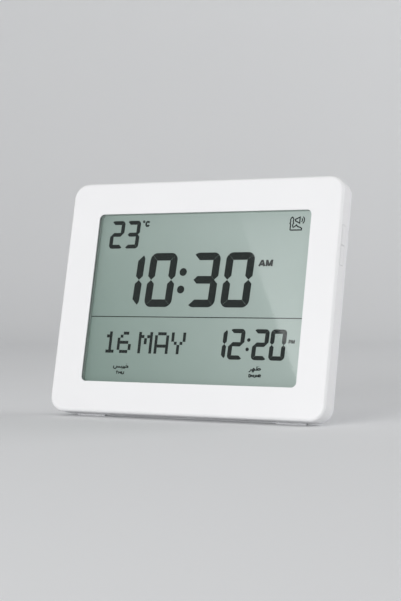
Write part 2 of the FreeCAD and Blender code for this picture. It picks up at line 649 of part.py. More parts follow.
def cover():
    """Rear shell: rim, raised back, battery bay, recess of the leg, speaker seat."""
    body = new_body("rear_cover")
    wall = size.cover_wall

    def outline(sketch):
        rounded(sketch, -HALF_WIDTH, ZERO, HALF_WIDTH, size.case_height, size.case_corner)

    def raised(sketch):
        rounded(sketch, -BACK_SIDE, size.back_bottom, BACK_SIDE, BACK_TOP, size.back_corner)

    def inside(sketch):
        rim = size.case_wall
        rounded(sketch, rim - HALF_WIDTH, rim, HALF_WIDTH - rim,
                size.case_height - rim, size.case_corner - rim)

    def raised_inside(sketch):
        thick = size.back_side_wall
        rounded(sketch, thick - BACK_SIDE, size.back_bottom + thick, BACK_SIDE - thick,
                BACK_TOP - thick, size.back_corner - thick)

    rim = slab(body, "cover_rim", outline, size.parting_depth, size.rim_depth, size.rear_draft)
    rear = size.rim_depth.value
    edges = named_edges(rim, lambda edge: edge.BoundBox.YMin > rear - 1e-3)
    round_over(body, "cover_rear_round", rim, edges, size.rear_round)
    back = slab(body, "cover_back", raised, size.rim_depth - size.overlap, size.back_depth,
                size.back_draft)
    top = size.back_depth.value
    edges = named_edges(back, lambda edge: edge.BoundBox.YMin > top - 1e-3)
    round_over(body, "cover_back_round", back, edges, size.back_round)
    sink(body, "cover_inside", inside, size.parting_depth, RIM_INSIDE)
    sink(body, "cover_back_inside", raised_inside, RIM_INSIDE - size.overlap, BACK_INSIDE)

    # tongue that centres the bezel along the parting line
    def frame_ring(outer, inner):
        def draw(sketch):
            for inset in (outer, inner):
                rounded(sketch, inset - HALF_WIDTH, inset, HALF_WIDTH - inset,
                        size.case_height - inset, size.case_corner - inset)
        return draw

    face = size.case_wall + size.tongue_gap
    slab(body, "tongue_root", frame_ring(size.case_wall - size.overlap, face + size.tongue_thick),
         size.parting_depth, size.parting_depth + size.tongue_root)
    slab(body, "tongue", frame_ring(face, face + size.tongue_thick),
         size.parting_depth - size.tongue_height, size.parting_depth + size.overlap)

    # screw posts
    for number, (column, height) in enumerate(SCREW_SPOTS, start=1):
        slab(body, f"cover_post_{number}",
             lambda sketch: circle(sketch, column, height, size.post_radius),
             size.parting_depth, RIM_INSIDE + size.overlap)
        sink(body, f"cover_screw_hole_{number}",
             lambda sketch: circle(sketch, column, height,
                                   size.screw_radius + size.screw_clear),
             size.parting_depth, size.rim_depth)
        sink(body, f"cover_screw_seat_{number}",
             lambda sketch: circle(sketch, column, height, size.screw_head + size.screw_clear),
             size.rim_depth - size.screw_seat, size.rim_depth)

    # battery bay with the ledge and the hinge of its door
    bay = size.bay_wall
    slab(body, "bay_block",
         lambda sketch: rectangle(sketch, BAY_LEFT - bay, BAY_BOTTOM - bay,
                                  BAY_RIGHT + bay, BAY_TOP + bay),
         HOLDER_BACK, BACK_INSIDE + size.overlap)
    sink(body, "bay_room",
         lambda sketch: rectangle(sketch, BAY_LEFT, BAY_BOTTOM, BAY_RIGHT, BAY_TOP),
         BAY_DEPTH, size.back_depth)
    middle = BAY_BOTTOM + size.cell_spare / 2 + size.cell_pitch
    half = size.bay_rib_width / 2
    rib = slab(body, "bay_rib",
               lambda sketch: rectangle(sketch, BAY_LEFT + size.bay_rib_gap, middle - half,
                                        BAY_RIGHT - size.bay_rib_gap, middle + half),
               BAY_DEPTH - size.overlap, BAY_DEPTH + size.bay_rib_height)
    ribs = body.newObject("PartDesign::LinearPattern", "bay_ribs")
    ribs.Originals = [rib]
    ribs.Direction = (rib.Profile[0], ["V_Axis"])
    bind(ribs, "Length", size.cell_pitch * (size.cell_count - 2))
    bind(ribs, "Occurrences", size.cell_count - 1)
    body.Tip = ribs
    gap = size.door_gap
    sink(body, "bay_door_seat",
         lambda sketch: rectangle(sketch, DOOR_LEFT - gap, DOOR_BOTTOM - gap,
                                  DOOR_RIGHT + gap, DOOR_TOP + gap),
         size.back_depth - size.door_thick - size.door_lift, size.back_depth)
    sink(body, "bay_hinge_seat",
         lambda sketch: rectangle(sketch, DOOR_LEFT - gap, DOOR_BOTTOM - gap, DOOR_RIGHT + gap,
                                  DOOR_BOTTOM + size.door_barrel * 2 + gap),
         DOOR_HINGE_DEPTH - size.door_barrel - gap, size.back_depth)
    cross_bore(body, "bay_hinge_bore",
               lambda sketch: circle(sketch, DOOR_HINGE_DEPTH, DOOR_HINGE_HEIGHT,
                                     size.door_pin + size.shaft_gap),
               DOOR_RIGHT - DOOR_LEFT + (size.door_pin_reach + size.seat_gap) * 2,
               (DOOR_LEFT + DOOR_RIGHT) / 2)

    # recess of the folding leg, open at the bottom, with its hinge bores
    reach = LEG_SIDE + size.leg_side_gap
    slab(body, "recess_block",
         lambda sketch: rectangle(sketch, -reach - wall, size.back_bottom + wall,
                                  reach + wall, RECESS_TOP + wall),
         RECESS_DEPTH - size.recess_floor, BACK_INSIDE + size.overlap)
    sink(body, "recess_room",
         lambda sketch: rectangle(sketch, -reach, ZERO, reach, RECESS_TOP),
         RECESS_DEPTH, size.back_depth)
    cross_bore(body, "recess_hinge_bore",
               lambda sketch: circle(sketch, LEG_HINGE_DEPTH, size.leg_hinge_height,
                                     size.leg_pin + size.shaft_gap),
               size.leg_width + (size.leg_pin_reach + size.leg_gap) * 2)

    # loudspeaker collar and the seat of its grille
    rim_radius = size.speaker_radius + size.collar_wall + size.seat_gap

    def collar(sketch):
        circle(sketch, SPEAKER_COLUMN, SPEAKER_HEIGHT, rim_radius)
        circle(sketch, SPEAKER_COLUMN, SPEAKER_HEIGHT,
               size.speaker_radius + size.seat_gap)

    slab(body, "speaker_collar", collar, BACK_INSIDE - size.collar_depth,
         BACK_INSIDE + size.overlap)
    sink(body, "speaker_mouth",
         lambda sketch: circle(sketch, SPEAKER_COLUMN, SPEAKER_HEIGHT,
                               size.grille_radius - size.grille_ledge),
         BACK_INSIDE, size.back_depth)
    sink(body, "grille_seat",
         lambda sketch: circle(sketch, SPEAKER_COLUMN, SPEAKER_HEIGHT,
                               size.grille_radius + size.seat_gap),
         size.back_depth - size.grille_thick, size.back_depth)

    # keyhole for a wall screw
    def keyhole_slot(sketch):
        half = size.keyhole_slot / 2
        rectangle(sketch, -half, KEYHOLE_HEIGHT, half,
                  KEYHOLE_HEIGHT + size.keyhole_rise)

    sink(body, "keyhole_entry",
         lambda sketch: circle(sketch, ZERO, KEYHOLE_HEIGHT, size.keyhole_radius),
         BACK_INSIDE, size.back_depth)
    sink(body, "keyhole_slot", keyhole_slot, BACK_INSIDE, size.back_depth)
    sink(body, "keyhole_end",
         lambda sketch: circle(sketch, ZERO, KEYHOLE_HEIGHT + size.keyhole_rise,
                               size.keyhole_slot / 2),
         BACK_INSIDE, size.back_depth)

    # holes of the round buttons
    hole = sink(body, "key_hole",
                lambda sketch: circle(sketch, KEY_FIRST, KEY_ROW,
                                      size.key_radius + size.key_gap),
                RIM_INSIDE, size.rim_depth)
    holes = body.newObject("PartDesign::LinearPattern", "key_holes")
    holes.Originals = [hole]
    holes.Direction = (hole.Profile[0], ["H_Axis"])
    bind(holes, "Length", size.key_pitch * (size.key_count - 1))
    bind(holes, "Occurrences", size.key_count)
    body.Tip = holes

    # recesses of the rubber pads in the lower wall
    for side in (-1, 1):
        column = side * PAD_COLUMN
        cross_bore(body, f"pad_recess_{'left' if side < 0 else 'right'}",
                   lambda sketch: rectangle(sketch, size.pad_front, -size.pad_sunk,
                                            size.pad_back, size.pad_sunk),
                   size.pad_width, column)
    place(body)


def case_screws():
    """Pan head screws that close the casing from behind, as one group."""
    screws = []
    length = size.rim_depth - size.screw_seat - size.parting_depth + size.screw_bite
    for number, (column, height) in enumerate(SCREW_SPOTS, start=1):
        screw = turned(f"case_screw_{number}", [
            (ZERO, -length),
            (size.screw_radius, -length + size.screw_radius),
            (size.screw_radius, ZERO),
            (size.screw_head, ZERO),
            (size.screw_head, size.screw_head_edge),
            (size.screw_head_flat, size.screw_head_thick),
            (ZERO, size.screw_head_thick),
        ])
        stand_at(screw, column, size.rim_depth - size.screw_seat, height)
        screws.append(screw)
    gather("case_screws", screws)


# ------------------------------------------------------------------ display


def plate(label, left, bottom, right, top, front, back, corner=None):
    """A flat piece between two depths, with square or round corners."""
    body = new_body(label)

    def outline(sketch):
        if corner is None:
            rectangle(sketch, left, bottom, right, top)
        else:
            rounded(sketch, left, bottom, right, top, corner)

    slab(body, f"{label}_plate", outline, front, back)
    place(body)
    return body


def display():
    """Lens, dark frame, LCD cell, reflector, light guide and their holder."""
    reach = size.lens_ledge - size.lens_gap
    plate("window_lens", WINDOW_LEFT - reach, WINDOW_BOTTOM - reach,
          WINDOW_RIGHT + reach, WINDOW_TOP + reach, size.window_lip, LENS_BACK,
          size.window_corner)

    frame = new_body("display_frame")
    border = size.frame_border

    def ring(sketch):
        rounded(sketch, WINDOW_LEFT - border, WINDOW_BOTTOM - border,
                WINDOW_RIGHT + border, WINDOW_TOP + border, size.window_corner)
        rounded(sketch, WINDOW_LEFT, WINDOW_BOTTOM, WINDOW_RIGHT, WINDOW_TOP,
                size.window_corner)

    slab(frame, "display_frame_ring", ring, LENS_BACK, FRAME_BACK)
    place(frame)

    plate("lcd_front_polariser", GLASS_LEFT, GLASS_BOTTOM, GLASS_RIGHT, GLASS_TOP,
          FRAME_BACK, FILM_BACK)
    plate("lcd_front_glass", GLASS_LEFT, GLASS_BOTTOM, GLASS_RIGHT, GLASS_TOP,
          FILM_BACK, CELL_MIDDLE)
    plate("lcd_rear_glass", GLASS_LEFT, GLASS_BOTTOM, GLASS_RIGHT,
          GLASS_TOP + size.contact_ledge, CELL_MIDDLE, CELL_BACK)
    plate("lcd_reflector", GLASS_LEFT, GLASS_BOTTOM, GLASS_RIGHT, GLASS_TOP,
          CELL_BACK, REFLECTOR_BACK)
    plate("light_guide", GLASS_LEFT, GLASS_BOTTOM, GLASS_RIGHT - size.strip_room, GLASS_TOP,
          REFLECTOR_BACK, GUIDE_BACK)

    strip = new_body("backlight_strip")
    slab(strip, "backlight_board",
         lambda sketch: rectangle(sketch, GLASS_RIGHT - size.strip_board, GLASS_BOTTOM,
                                  GLASS_RIGHT, GLASS_TOP),
         REFLECTOR_BACK, GUIDE_BACK)
    step = (GLASS_TOP - GLASS_BOTTOM) / size.led_count
    low = GLASS_BOTTOM + (step - size.led_length) / 2
    led = slab(strip, "backlight_led",
               lambda sketch: rectangle(sketch, GLASS_RIGHT - size.strip_room, low,
                                        GLASS_RIGHT - size.strip_board / 2,
                                        low + size.led_length),
               REFLECTOR_BACK + size.led_inset, GUIDE_BACK - size.led_inset)
    leds = strip.newObject("PartDesign::LinearPattern", "backlight_leds")
    leds.Originals = [led]
    leds.Direction = (led.Profile[0], ["V_Axis"])
    bind(leds, "Length", step * (size.led_count - 1))
    bind(leds, "Occurrences", size.led_count)
    strip.Tip = leds
    place(strip)

    holder = new_body("display_holder")
    wall = size.holder_wall
    slab(holder, "holder_block",
         lambda sketch: rectangle(sketch, HOLDER_LEFT, HOLDER_BOTTOM, HOLDER_RIGHT, HOLDER_TOP),
         FRAME_BACK, HOLDER_BACK)
    sink(holder, "holder_room",
         lambda sketch: rectangle(sketch, HOLDER_LEFT + wall, HOLDER_BOTTOM + wall,
                                  HOLDER_RIGHT - wall, HOLDER_TOP - wall),
         FRAME_BACK, GUIDE_BACK)
    strip_low = GLASS_TOP + (size.contact_ledge - size.strip_height) / 2
    sink(holder, "holder_strip_slot",
         lambda sketch: rectangle(sketch, WINDOW_LEFT, strip_low, WINDOW_RIGHT,
                                  strip_low + size.strip_height),
         GUIDE_BACK - size.overlap, HOLDER_BACK)
    place(holder)

    plate("lcd_contact_strip", WINDOW_LEFT, strip_low, WINDOW_RIGHT,
          strip_low + size.strip_height, CELL_BACK, HOLDER_BACK)


# -------------------------------------------------------------- electronics


def electronics():
    """Main board with its chip, crystal and capacitor, and the side switch board."""
    plate("main_board", -BOARD_SIDE, BOARD_BOTTOM, BOARD_SIDE, BOARD_TOP,
          HOLDER_BACK, BOARD_BACK)
    chip = turned("controller_chip", [
        (ZERO, ZERO),
        (size.chip_radius, ZERO),
        (size.chip_radius - size.chip_slope, size.chip_height),
        (ZERO, size.chip_height),
    ])
    place(chip, -size.chip_left, BOARD_BACK, BOARD_BOTTOM + size.chip_lift)
    crystal = turned("clock_crystal", [
        (ZERO, ZERO),
        (size.crystal_length, ZERO),
        (size.crystal_length, size.crystal_radius),
        (ZERO, size.crystal_radius),
    ], "H_Axis")
    place(crystal, size.crystal_right, BOARD_BACK + size.crystal_radius,
          BOARD_BOTTOM + size.crystal_lift)
    can = size.capacitor_radius
    top = size.capacitor_height
    capacitor = turned("supply_capacitor", [
        (ZERO, ZERO),
        (can, ZERO),
        (can, top - size.capacitor_rim),
        (can - size.capacitor_rim, top),
        (ZERO, top),
    ])
    place(capacitor, size.capacitor_right, BOARD_BACK, BOARD_BOTTOM + size.capacitor_lift)

    border = size.switch_side / 2
    plate("side_switch_board", SIDE_BOARD - size.board_thick, SIDE_KEY_BOTTOM - border,
          SIDE_BOARD, SIDE_KEY_BOTTOM + size.side_key_length * 2 + border,
          size.case_wall, size.parting_depth - size.overlap)


def tact_switch(label):
    """A square switch body with its round plunger, standing on its own x-z plane."""
    body = new_body(label)
    half = size.switch_side / 2
    slab(body, f"{label}_base", lambda sketch: rectangle(sketch, -half, -half, half, half),
         ZERO, size.switch_height)
    slab(body, f"{label}_plunger",
         lambda sketch: circle(sketch, ZERO, ZERO, size.plunger_radius),
         size.switch_height - size.switch_plunger / 2, SWITCH_RISE)
    return body


# ------------------------------------------------------------------ buttons


def rear_keys():
    """Six round buttons in a row, each over a switch on the main board."""
    stem_end = BOARD_BACK + SWITCH_RISE + size.key_travel + size.seat_gap
    edge = size.key_edge
    for number in range(int(size.key_count.value)):
        column = KEY_FIRST + number * size.key_pitch
        switch = tact_switch(f"rear_switch_{number + 1}")
        place(switch, column, BOARD_BACK, KEY_ROW)
        flange = size.key_radius + size.flange_reach
        key = turned(f"rear_button_{number + 1}", [
            (ZERO, stem_end),
            (size.key_stem, stem_end),
            (size.key_stem, KEY_FLANGE - size.flange_thick),
            (flange, KEY_FLANGE - size.flange_thick),
            (flange, KEY_FLANGE),
            (size.key_radius, KEY_FLANGE),
            (size.key_radius, size.rim_depth + size.key_proud - edge),
            (size.key_radius - edge, size.rim_depth + size.key_proud),
            (ZERO, size.rim_depth + size.key_proud),
        ])
        place(key, column, ZERO, KEY_ROW)


def side_keys():
    """Two flush buttons, one above the other, in the bezel's right wall."""
    half = size.side_key_length / 2
    wide = size.side_key_width / 2
    reach = size.flange_reach
    outer = HALF_WIDTH + size.side_key_proud
    for number, name in enumerate(("lower", "upper")):
        middle = (SIDE_KEY_BOTTOM + half
                  + number * (size.side_key_length + size.key_gap))
        switch = tact_switch(f"side_switch_{name}")
        place(switch, SIDE_BOARD, size.side_key_depth, middle,
              Rotation(Vector(0, 0, 1), -90))
        body = new_body(f"side_button_{name}")
        cap = side_pad(body, "cap", SIDE_FLANGE, outer,
                       lambda sketch: rectangle(sketch, -wide, size.key_gap / 2 - half,
                                                wide, half - size.key_gap / 2))
        edges = named_edges(cap, lambda edge: edge.BoundBox.XMin > outer.value - 1e-3)
        round_over(body, f"side_{name}_edge", cap, edges, size.key_edge)
        side_pad(body, "flange", SIDE_FLANGE, SIDE_FLANGE + size.flange_thick,
                 lambda sketch: rectangle(sketch, -wide - reach, reach - half,
                                          wide + reach, half - reach))
        side_pad(body, "stem", SIDE_FLANGE - size.side_key_stem, SIDE_FLANGE,
                 lambda sketch: circle(sketch, ZERO, ZERO, size.key_stem))
        place(body, ZERO, size.side_key_depth, middle)


# -------------------------------------------------------------------- stand


def stand_angle():
    """How far the leg opens from flat in its recess, in degrees.

    The open leg reaches the level of the rubber pads with the casing leaning back.
    """
    lean = size.lean_back
    pads = size.pad_back * sine(lean) + size.pad_proud * cosine(lean)
    hinge = size.leg_hinge_height * cosine(lean) - LEG_HINGE_DEPTH * sine(lean) + pads
    return lean + angle_of_cosine((hinge - size.bead_radius) / LEG_LENGTH)


def heel_length():
    """Length of the heel above the hinge, which meets the recess floor when open."""
    opening = stand_angle()
    room = LEG_HINGE_DEPTH - RECESS_DEPTH - size.stop_gap
    return (room - size.leg_thick / 2 * cosine(opening)) / sine(opening)


def stand():
    """Folding leg with its barrel, pins, heel, rim and slots, and the bead on its end."""
    opening = Rotation(Vector(1, 0, 0), stand_angle().value)
    half = size.leg_thick / 2
    end = size.bead_radius - size.bead_grip - LEG_LENGTH
    top = size.leg_width / 2
    tip = size.leg_tip_width / 2

    def outline(sketch):
        polygon(sketch, [(-top, ZERO), (-tip, end), (tip, end), (top, ZERO)])

    def rim(sketch):
        low = end + size.leg_corner
        side = top - (top - tip) * low / end
        edge = size.leg_rim_width
        polygon(sketch, [(-top, ZERO), (-side, low), (side, low), (top, ZERO)])
        polygon(sketch, [(edge - top, -size.leg_barrel), (edge - side, low + edge),
                         (side - edge, low + edge), (top - edge, -size.leg_barrel)])

    body = new_body("stand_leg")
    blade = slab(body, "leg_plate", outline, -half, half)
    edges = named_edges(
        blade,
        lambda edge: edge.BoundBox.ZMax < end.value + 1e-3 and edge.BoundBox.XLength < 1e-3,
    )
    round_over(body, "leg_corners", blade, edges, size.leg_corner)
    slab(body, "leg_rim", rim, half - size.overlap, half + size.leg_rim_height)
    for side in (-1, 1):
        inner = side * size.leg_rib / 2
        outer = side * (size.leg_rib / 2 + size.leg_slot_width)
        left, right = (outer, inner) if side < 0 else (inner, outer)
        sink(body, f"leg_slot_{'left' if side < 0 else 'right'}",
             lambda sketch: rounded(sketch, left, size.leg_slot_low - LEG_LENGTH,
                                    right, -size.leg_slot_high, size.leg_slot_corner),
             -half, half)
    cross_bar(body, "leg_barrel", lambda sketch: circle(sketch, ZERO, ZERO, size.leg_barrel),
              size.leg_width)
    cross_bar(body, "leg_heel",
              lambda sketch: rectangle(sketch, -half, ZERO, half, heel_length()),
              size.leg_width)
    cross_bar(body, "leg_pins", lambda sketch: circle(sketch, ZERO, ZERO, size.leg_pin),
              size.leg_width + size.leg_pin_reach * 2)
    place(body, ZERO, LEG_HINGE_DEPTH, size.leg_hinge_height, opening)

    bead = new_body("leg_bead")
    cross_bar(bead, "bead_round",
              lambda sketch: circle(sketch, ZERO, -LEG_LENGTH, size.bead_radius),
              size.bead_width)
    cross_bore(bead, "bead_slot",
               lambda sketch: rectangle(sketch, -half, end, half,
                                        size.bead_radius + size.overlap - LEG_LENGTH),
               size.bead_width + size.overlap)
    place(bead, ZERO, LEG_HINGE_DEPTH, size.leg_hinge_height, opening)


def rubber_pads():
    """Two pads let into the lower wall, with undersides level on the surface."""
    slope = sine(size.lean_back) / cosine(size.lean_back)
    for side, name in ((-1, "left"), (1, "right")):
        body = new_body(f"rubber_pad_{name}")
        front_low = -size.pad_proud - (size.pad_back - size.pad_front) * slope
        cross_bar(body, f"pad_{name}_block",
                  lambda sketch: polygon(sketch, [
                      (size.pad_front, front_low),
                      (size.pad_back, -size.pad_proud),
                      (size.pad_back, size.pad_sunk),
                      (size.pad_front, size.pad_sunk),
                  ]),
                  size.pad_width)
        place(body, side * PAD_COLUMN)


# ------------------------------------------------------------------ battery


def contact_spring(label):
    """The outer shape of a conical contact spring, pressed by its cell."""
    return turned(label, [
        (ZERO, ZERO),
        (size.spring_length, ZERO),
        (size.spring_length, size.spring_tip),
        (ZERO, size.spring_radius),
    ], "H_Axis")


def battery():
    """Three AA cells with their contacts, and the hinged door over them."""
    middle = BAY_DEPTH + size.cell_radius
    start = BAY_LEFT + size.contact_thick
    edge = size.cell_edge
    contacts = []
    for number in range(int(size.cell_count.value)):
        button = size.cell_button_radius
        cell = turned(f"battery_cell_{number + 1}", [
            (ZERO, ZERO),
            (size.cell_length + size.cell_button_length, ZERO),
            (size.cell_length + size.cell_button_length, button),
            (size.cell_length, button),
            (size.cell_length, size.cell_radius - edge),
            (size.cell_length - edge, size.cell_radius),
            (edge, size.cell_radius),
            (ZERO, size.cell_radius - edge),
        ], "H_Axis")
        height = BAY_BOTTOM + size.cell_spare / 2 + size.cell_pitch * (number + 0.5)
        spring = contact_spring(f"contact_spring_{number + 1}")
        if number % 2 == 0:
            place(cell, start + size.spring_length, middle, height)
            stand_at(spring, start, middle, height)
        else:
            about = Rotation(Vector(0, 0, 1), 180)
            far = BAY_RIGHT - size.contact_thick
            place(cell, far - size.spring_length, middle, height, about)
            stand_at(spring, far, middle, height, about)
        contacts.append(spring)
        for end, left in (("left", BAY_LEFT), ("right", BAY_RIGHT - size.contact_thick)):
            tab = new_body(f"contact_plate_{end}_{number + 1}")
            half = size.contact_side / 2
            sketch = new_sketch(tab, f"{tab.Label}_outline", "YZ_Plane", left)
            rectangle(sketch, BAY_DEPTH, height - half, BAY_DEPTH + size.contact_side,
                      height + half)
            pad = tab.newObject("PartDesign::Pad", f"{tab.Label}_pad")
            pad.Profile = sketch
            bind(pad, "Length", size.contact_thick)
            stand_at(tab)
            contacts.append(tab)
    gather("battery_contacts", contacts)


def door():
    """Battery door with a hinge barrel, two pins and a thumb notch."""
    body = new_body("battery_door")
    width = DOOR_RIGHT - DOOR_LEFT
    height = DOOR_TOP - DOOR_HINGE_HEIGHT
    outer = size.door_barrel
    slab(body, "door_plate",
         lambda sketch: rectangle(sketch, -width / 2, ZERO, width / 2, height),
         outer - size.door_thick, outer)
    cross_bar(body, "door_barrel", lambda sketch: circle(sketch, ZERO, ZERO, size.door_barrel),
              width)
    cross_bar(body, "door_pins", lambda sketch: circle(sketch, ZERO, ZERO, size.door_pin),
              width + size.door_pin_reach * 2)
    sink(body, "door_thumb_notch",
         lambda sketch: circle(sketch, ZERO, height, size.thumb_radius),
         outer - size.thumb_depth, outer)
    across = size.grip_length / 2
    low = height - size.grip_edge - size.grip_width
    floor = outer - size.thumb_depth
    ridge = slab(body, "door_grip",
                 lambda sketch: rectangle(sketch, -across, low, across, low + size.grip_width),
                 floor - size.overlap, floor + size.grip_height)
    ridges = body.newObject("PartDesign::LinearPattern", "door_grips")
    ridges.Originals = [ridge]
    ridges.Direction = (ridge.Profile[0], ["V_Axis"])
    ridges.Reversed = True
    bind(ridges, "Length", size.grip_pitch * (size.grip_count - 1))
    bind(ridges, "Occurrences", size.grip_count)
    body.Tip = ridges
    place(body, (DOOR_LEFT + DOOR_RIGHT) / 2, DOOR_HINGE_DEPTH, DOOR_HINGE_HEIGHT)


# ------------------------------------------------------------------ speaker


def speaker():
    """Loudspeaker turned towards the back: basket, cone, magnet and grille."""
    deep = size.speaker_depth
    basket = turned("speaker_basket", [
        (size.speaker_radius, ZERO),
        (size.speaker_radius, -size.basket_flange),
        (size.speaker_radius - size.basket_rim, -size.basket_flange),
        (size.magnet_radius, size.magnet_thick - deep),
        (size.basket_hole, size.magnet_thick - deep),
        (size.basket_hole, size.magnet_thick - deep + size.basket_sheet),
        (size.magnet_radius - size.basket_sheet,
         size.magnet_thick - deep + size.basket_sheet),
        (size.speaker_radius - size.cone_border, ZERO),
    ])
    place(basket, SPEAKER_COLUMN, BACK_INSIDE, SPEAKER_HEIGHT)
    cone = turned("speaker_cone", [
        (size.speaker_radius - size.cone_border, ZERO),
        (ZERO, -size.cone_depth),
        (ZERO, size.cone_thick - size.cone_depth),
        (size.speaker_radius - size.cone_border - size.cone_lip, ZERO),
    ])
    place(cone, SPEAKER_COLUMN, BACK_INSIDE, SPEAKER_HEIGHT)
    magnet = turned("speaker_magnet", [
        (ZERO, -deep),
        (size.magnet_radius, -deep),
        (size.magnet_radius, size.magnet_thick - deep),
        (ZERO, size.magnet_thick - deep),
    ])
    place(magnet, SPEAKER_COLUMN, BACK_INSIDE, SPEAKER_HEIGHT)

    grille = new_body("speaker_grille")
    slab(grille, "grille_disc",
         lambda sketch: circle(sketch, ZERO, ZERO, size.grille_radius),
         -size.grille_thick, ZERO)
    sink(grille, "grille_centre_hole",
         lambda sketch: circle(sketch, ZERO, ZERO, size.grille_hole),
         -size.grille_thick, ZERO)
    for ring in range(1, int(size.grille_rings.value) + 1):
        hole = sink(grille, f"grille_hole_{ring}",
                    lambda sketch: circle(sketch, ring * size.grille_pitch, ZERO,
                                          size.grille_hole),
                    -size.grille_thick, ZERO)
        turn = grille.newObject("PartDesign::PolarPattern", f"grille_ring_{ring}")
        turn.Originals = [hole]
        turn.Axis = (hole.Profile[0], ["N_Axis"])
        turn.Angle = 360
        turn.Occurrences = 6 * ring
        grille.Tip = turn
    place(grille, SPEAKER_COLUMN, size.back_depth, SPEAKER_HEIGHT)


# ------------------------------------------------------------------ assembly

bezel()
cover()
case_screws()
display()
electronics()
rear_keys()
side_keys()
stand()
rubber_pads()
battery()
door()
speaker()

doc.recompute()

failed = [item.Label for item in doc.Objects if "Invalid" in item.State or "Error" in item.State]
if failed:
    raise RuntimeError(f"objects that did not build: {failed}")
for part in parts:
    if part.Shape.isNull() or not part.Shape.isValid():
        raise RuntimeError(f"{part.Label} has no sound shape")

# The clock stands on z = 0, centred over the origin.
extent = FreeCAD.BoundBox()
for part in parts:
    extent.add(part.Shape.optimalBoundingBox(False, False))
shift = Vector(-extent.Center.x, -extent.Center.y, -extent.ZMin)
for part in parts:
    part.Placement = Placement(shift, Rotation()) * part.Placement
doc.recompute()

os.makedirs("parts", exist_ok=True)
for part in parts:
    part.Shape.exportStep(f"parts/{part.Label}.step")
    print(f"{part.Label}: {part.Shape.Volume:.1f} mm3, {len(part.Shape.Solids)} solid")
print(f"overall {extent.XLength:.1f} x {extent.YLength:.1f} x {extent.ZLength:.1f} mm")
print(f"the leg opens {stand_angle().value:.3f} degrees; the casing is moved by {shift}")
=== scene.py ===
"""Azan clock: finishes, display, small hardware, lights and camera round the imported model."""

import logging
import math
from dataclasses import dataclass
from enum import Enum
from typing import Sequence

import bmesh
import bpy
from mathutils import Euler, Matrix, Vector


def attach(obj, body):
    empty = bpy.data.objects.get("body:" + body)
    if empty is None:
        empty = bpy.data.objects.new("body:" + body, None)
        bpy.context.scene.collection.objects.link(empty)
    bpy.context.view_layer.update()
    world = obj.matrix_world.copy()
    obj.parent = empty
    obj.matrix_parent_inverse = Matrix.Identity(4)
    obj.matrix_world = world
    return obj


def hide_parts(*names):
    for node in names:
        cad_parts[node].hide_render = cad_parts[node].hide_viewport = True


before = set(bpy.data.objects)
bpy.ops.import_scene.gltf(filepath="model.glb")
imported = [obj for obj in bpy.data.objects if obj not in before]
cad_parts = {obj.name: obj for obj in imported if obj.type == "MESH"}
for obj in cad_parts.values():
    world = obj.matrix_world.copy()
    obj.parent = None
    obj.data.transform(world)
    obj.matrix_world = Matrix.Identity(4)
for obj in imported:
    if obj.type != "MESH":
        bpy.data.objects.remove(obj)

LOG = logging.getLogger("azan_clock")
MM = 0.001

Point = tuple[float, float]
Spot = tuple[float, float, float]
Outline = list[Point]
BMesh = bmesh.types.BMesh
Tree, Node, Socket = bpy.types.NodeTree, bpy.types.Node, bpy.types.NodeSocket
Feed = Node | Socket


# ---- where things are


@dataclass(frozen=True)
class CasingFrame:
    """Turns the casing's own millimetres (across, depth, height) into metres in the row's frame.

    Attributes:
        lean_deg: lean of the standing casing.
        move_mm: where the casing's lower front corner line comes to lie.
    """

    lean_deg: float = 13.0
    move_mm: Spot = (-0.075, -35.448, 4.165)

    def matrix(self) -> Matrix:
        """The whole change of place as one matrix."""
        lean = Matrix.Rotation(math.radians(-self.lean_deg), 4, "X")
        return Matrix.Translation(Vector(self.move_mm) * MM) @ lean @ Matrix.Scale(MM, 4)

    def point(self, across: float, depth: float, height: float) -> Vector:
        """One point of the casing, in the row's frame."""
        return self.matrix() @ Vector((across, depth, height))

    def turn(self) -> Euler:
        """The lean as a rotation."""
        return Euler((math.radians(-self.lean_deg), 0.0, 0.0))


CASE = CasingFrame()
# The body that every new piece rides on.
CASING_BODY = "casing"
# Keeps the joint of a sharp corner of a drawn line from running out into a spike.
LEAST_MITRE = 0.4


class Slot(Enum):
    """Material slots of the record, one held by each new piece."""

    FILM = "lcd_film"
    STEEL = "steel"
    JACKET = "cell_jacket"


# ---- nodes and colours

# Sockets of a Mix node that mixes colours.
MIX_A, MIX_B, MIX_COLOUR = 6, 7, 2


def linear(colour: str) -> tuple[float, float, float, float]:
    """Turns an sRGB hex colour into linear red, green, blue and alpha.

    Args:
        colour: six hex digits after a #.

    Returns:
        Linear values for a colour socket.
    """
    values = [int(colour[index:index + 2], 16) / 255 for index in (1, 3, 5)]
    red, green, blue = (
        value / 12.92 if value <= 0.04045 else ((value + 0.055) / 1.055) ** 2.4
        for value in values
    )
    return red, green, blue, 1.0


def add_node(
    tree: Tree,
    kind: str,
    settings: dict[str, object] | None = None,
    feeds: dict[str | int, object] | None = None,
) -> Node:
    """Adds one node with its settings and what feeds its sockets.

    Args:
        tree: the shader or geometry tree.
        kind: the node's type name.
        settings: properties of the node itself.
        feeds: what feeds each input, by its name or number: a value, another node's output, or
            another node, which stands for its first output.

    Returns:
        The new node.
    """
    node = tree.nodes.new(kind)
    for name, value in (settings or {}).items():
        setattr(node, name, value)
    for name, value in (feeds or {}).items():
        if isinstance(value, Node):
            value = value.outputs[0]
        if isinstance(value, Socket):
            tree.links.new(value, node.inputs[name])
        else:
            node.inputs[name].default_value = value
    return node


# ---- finishes


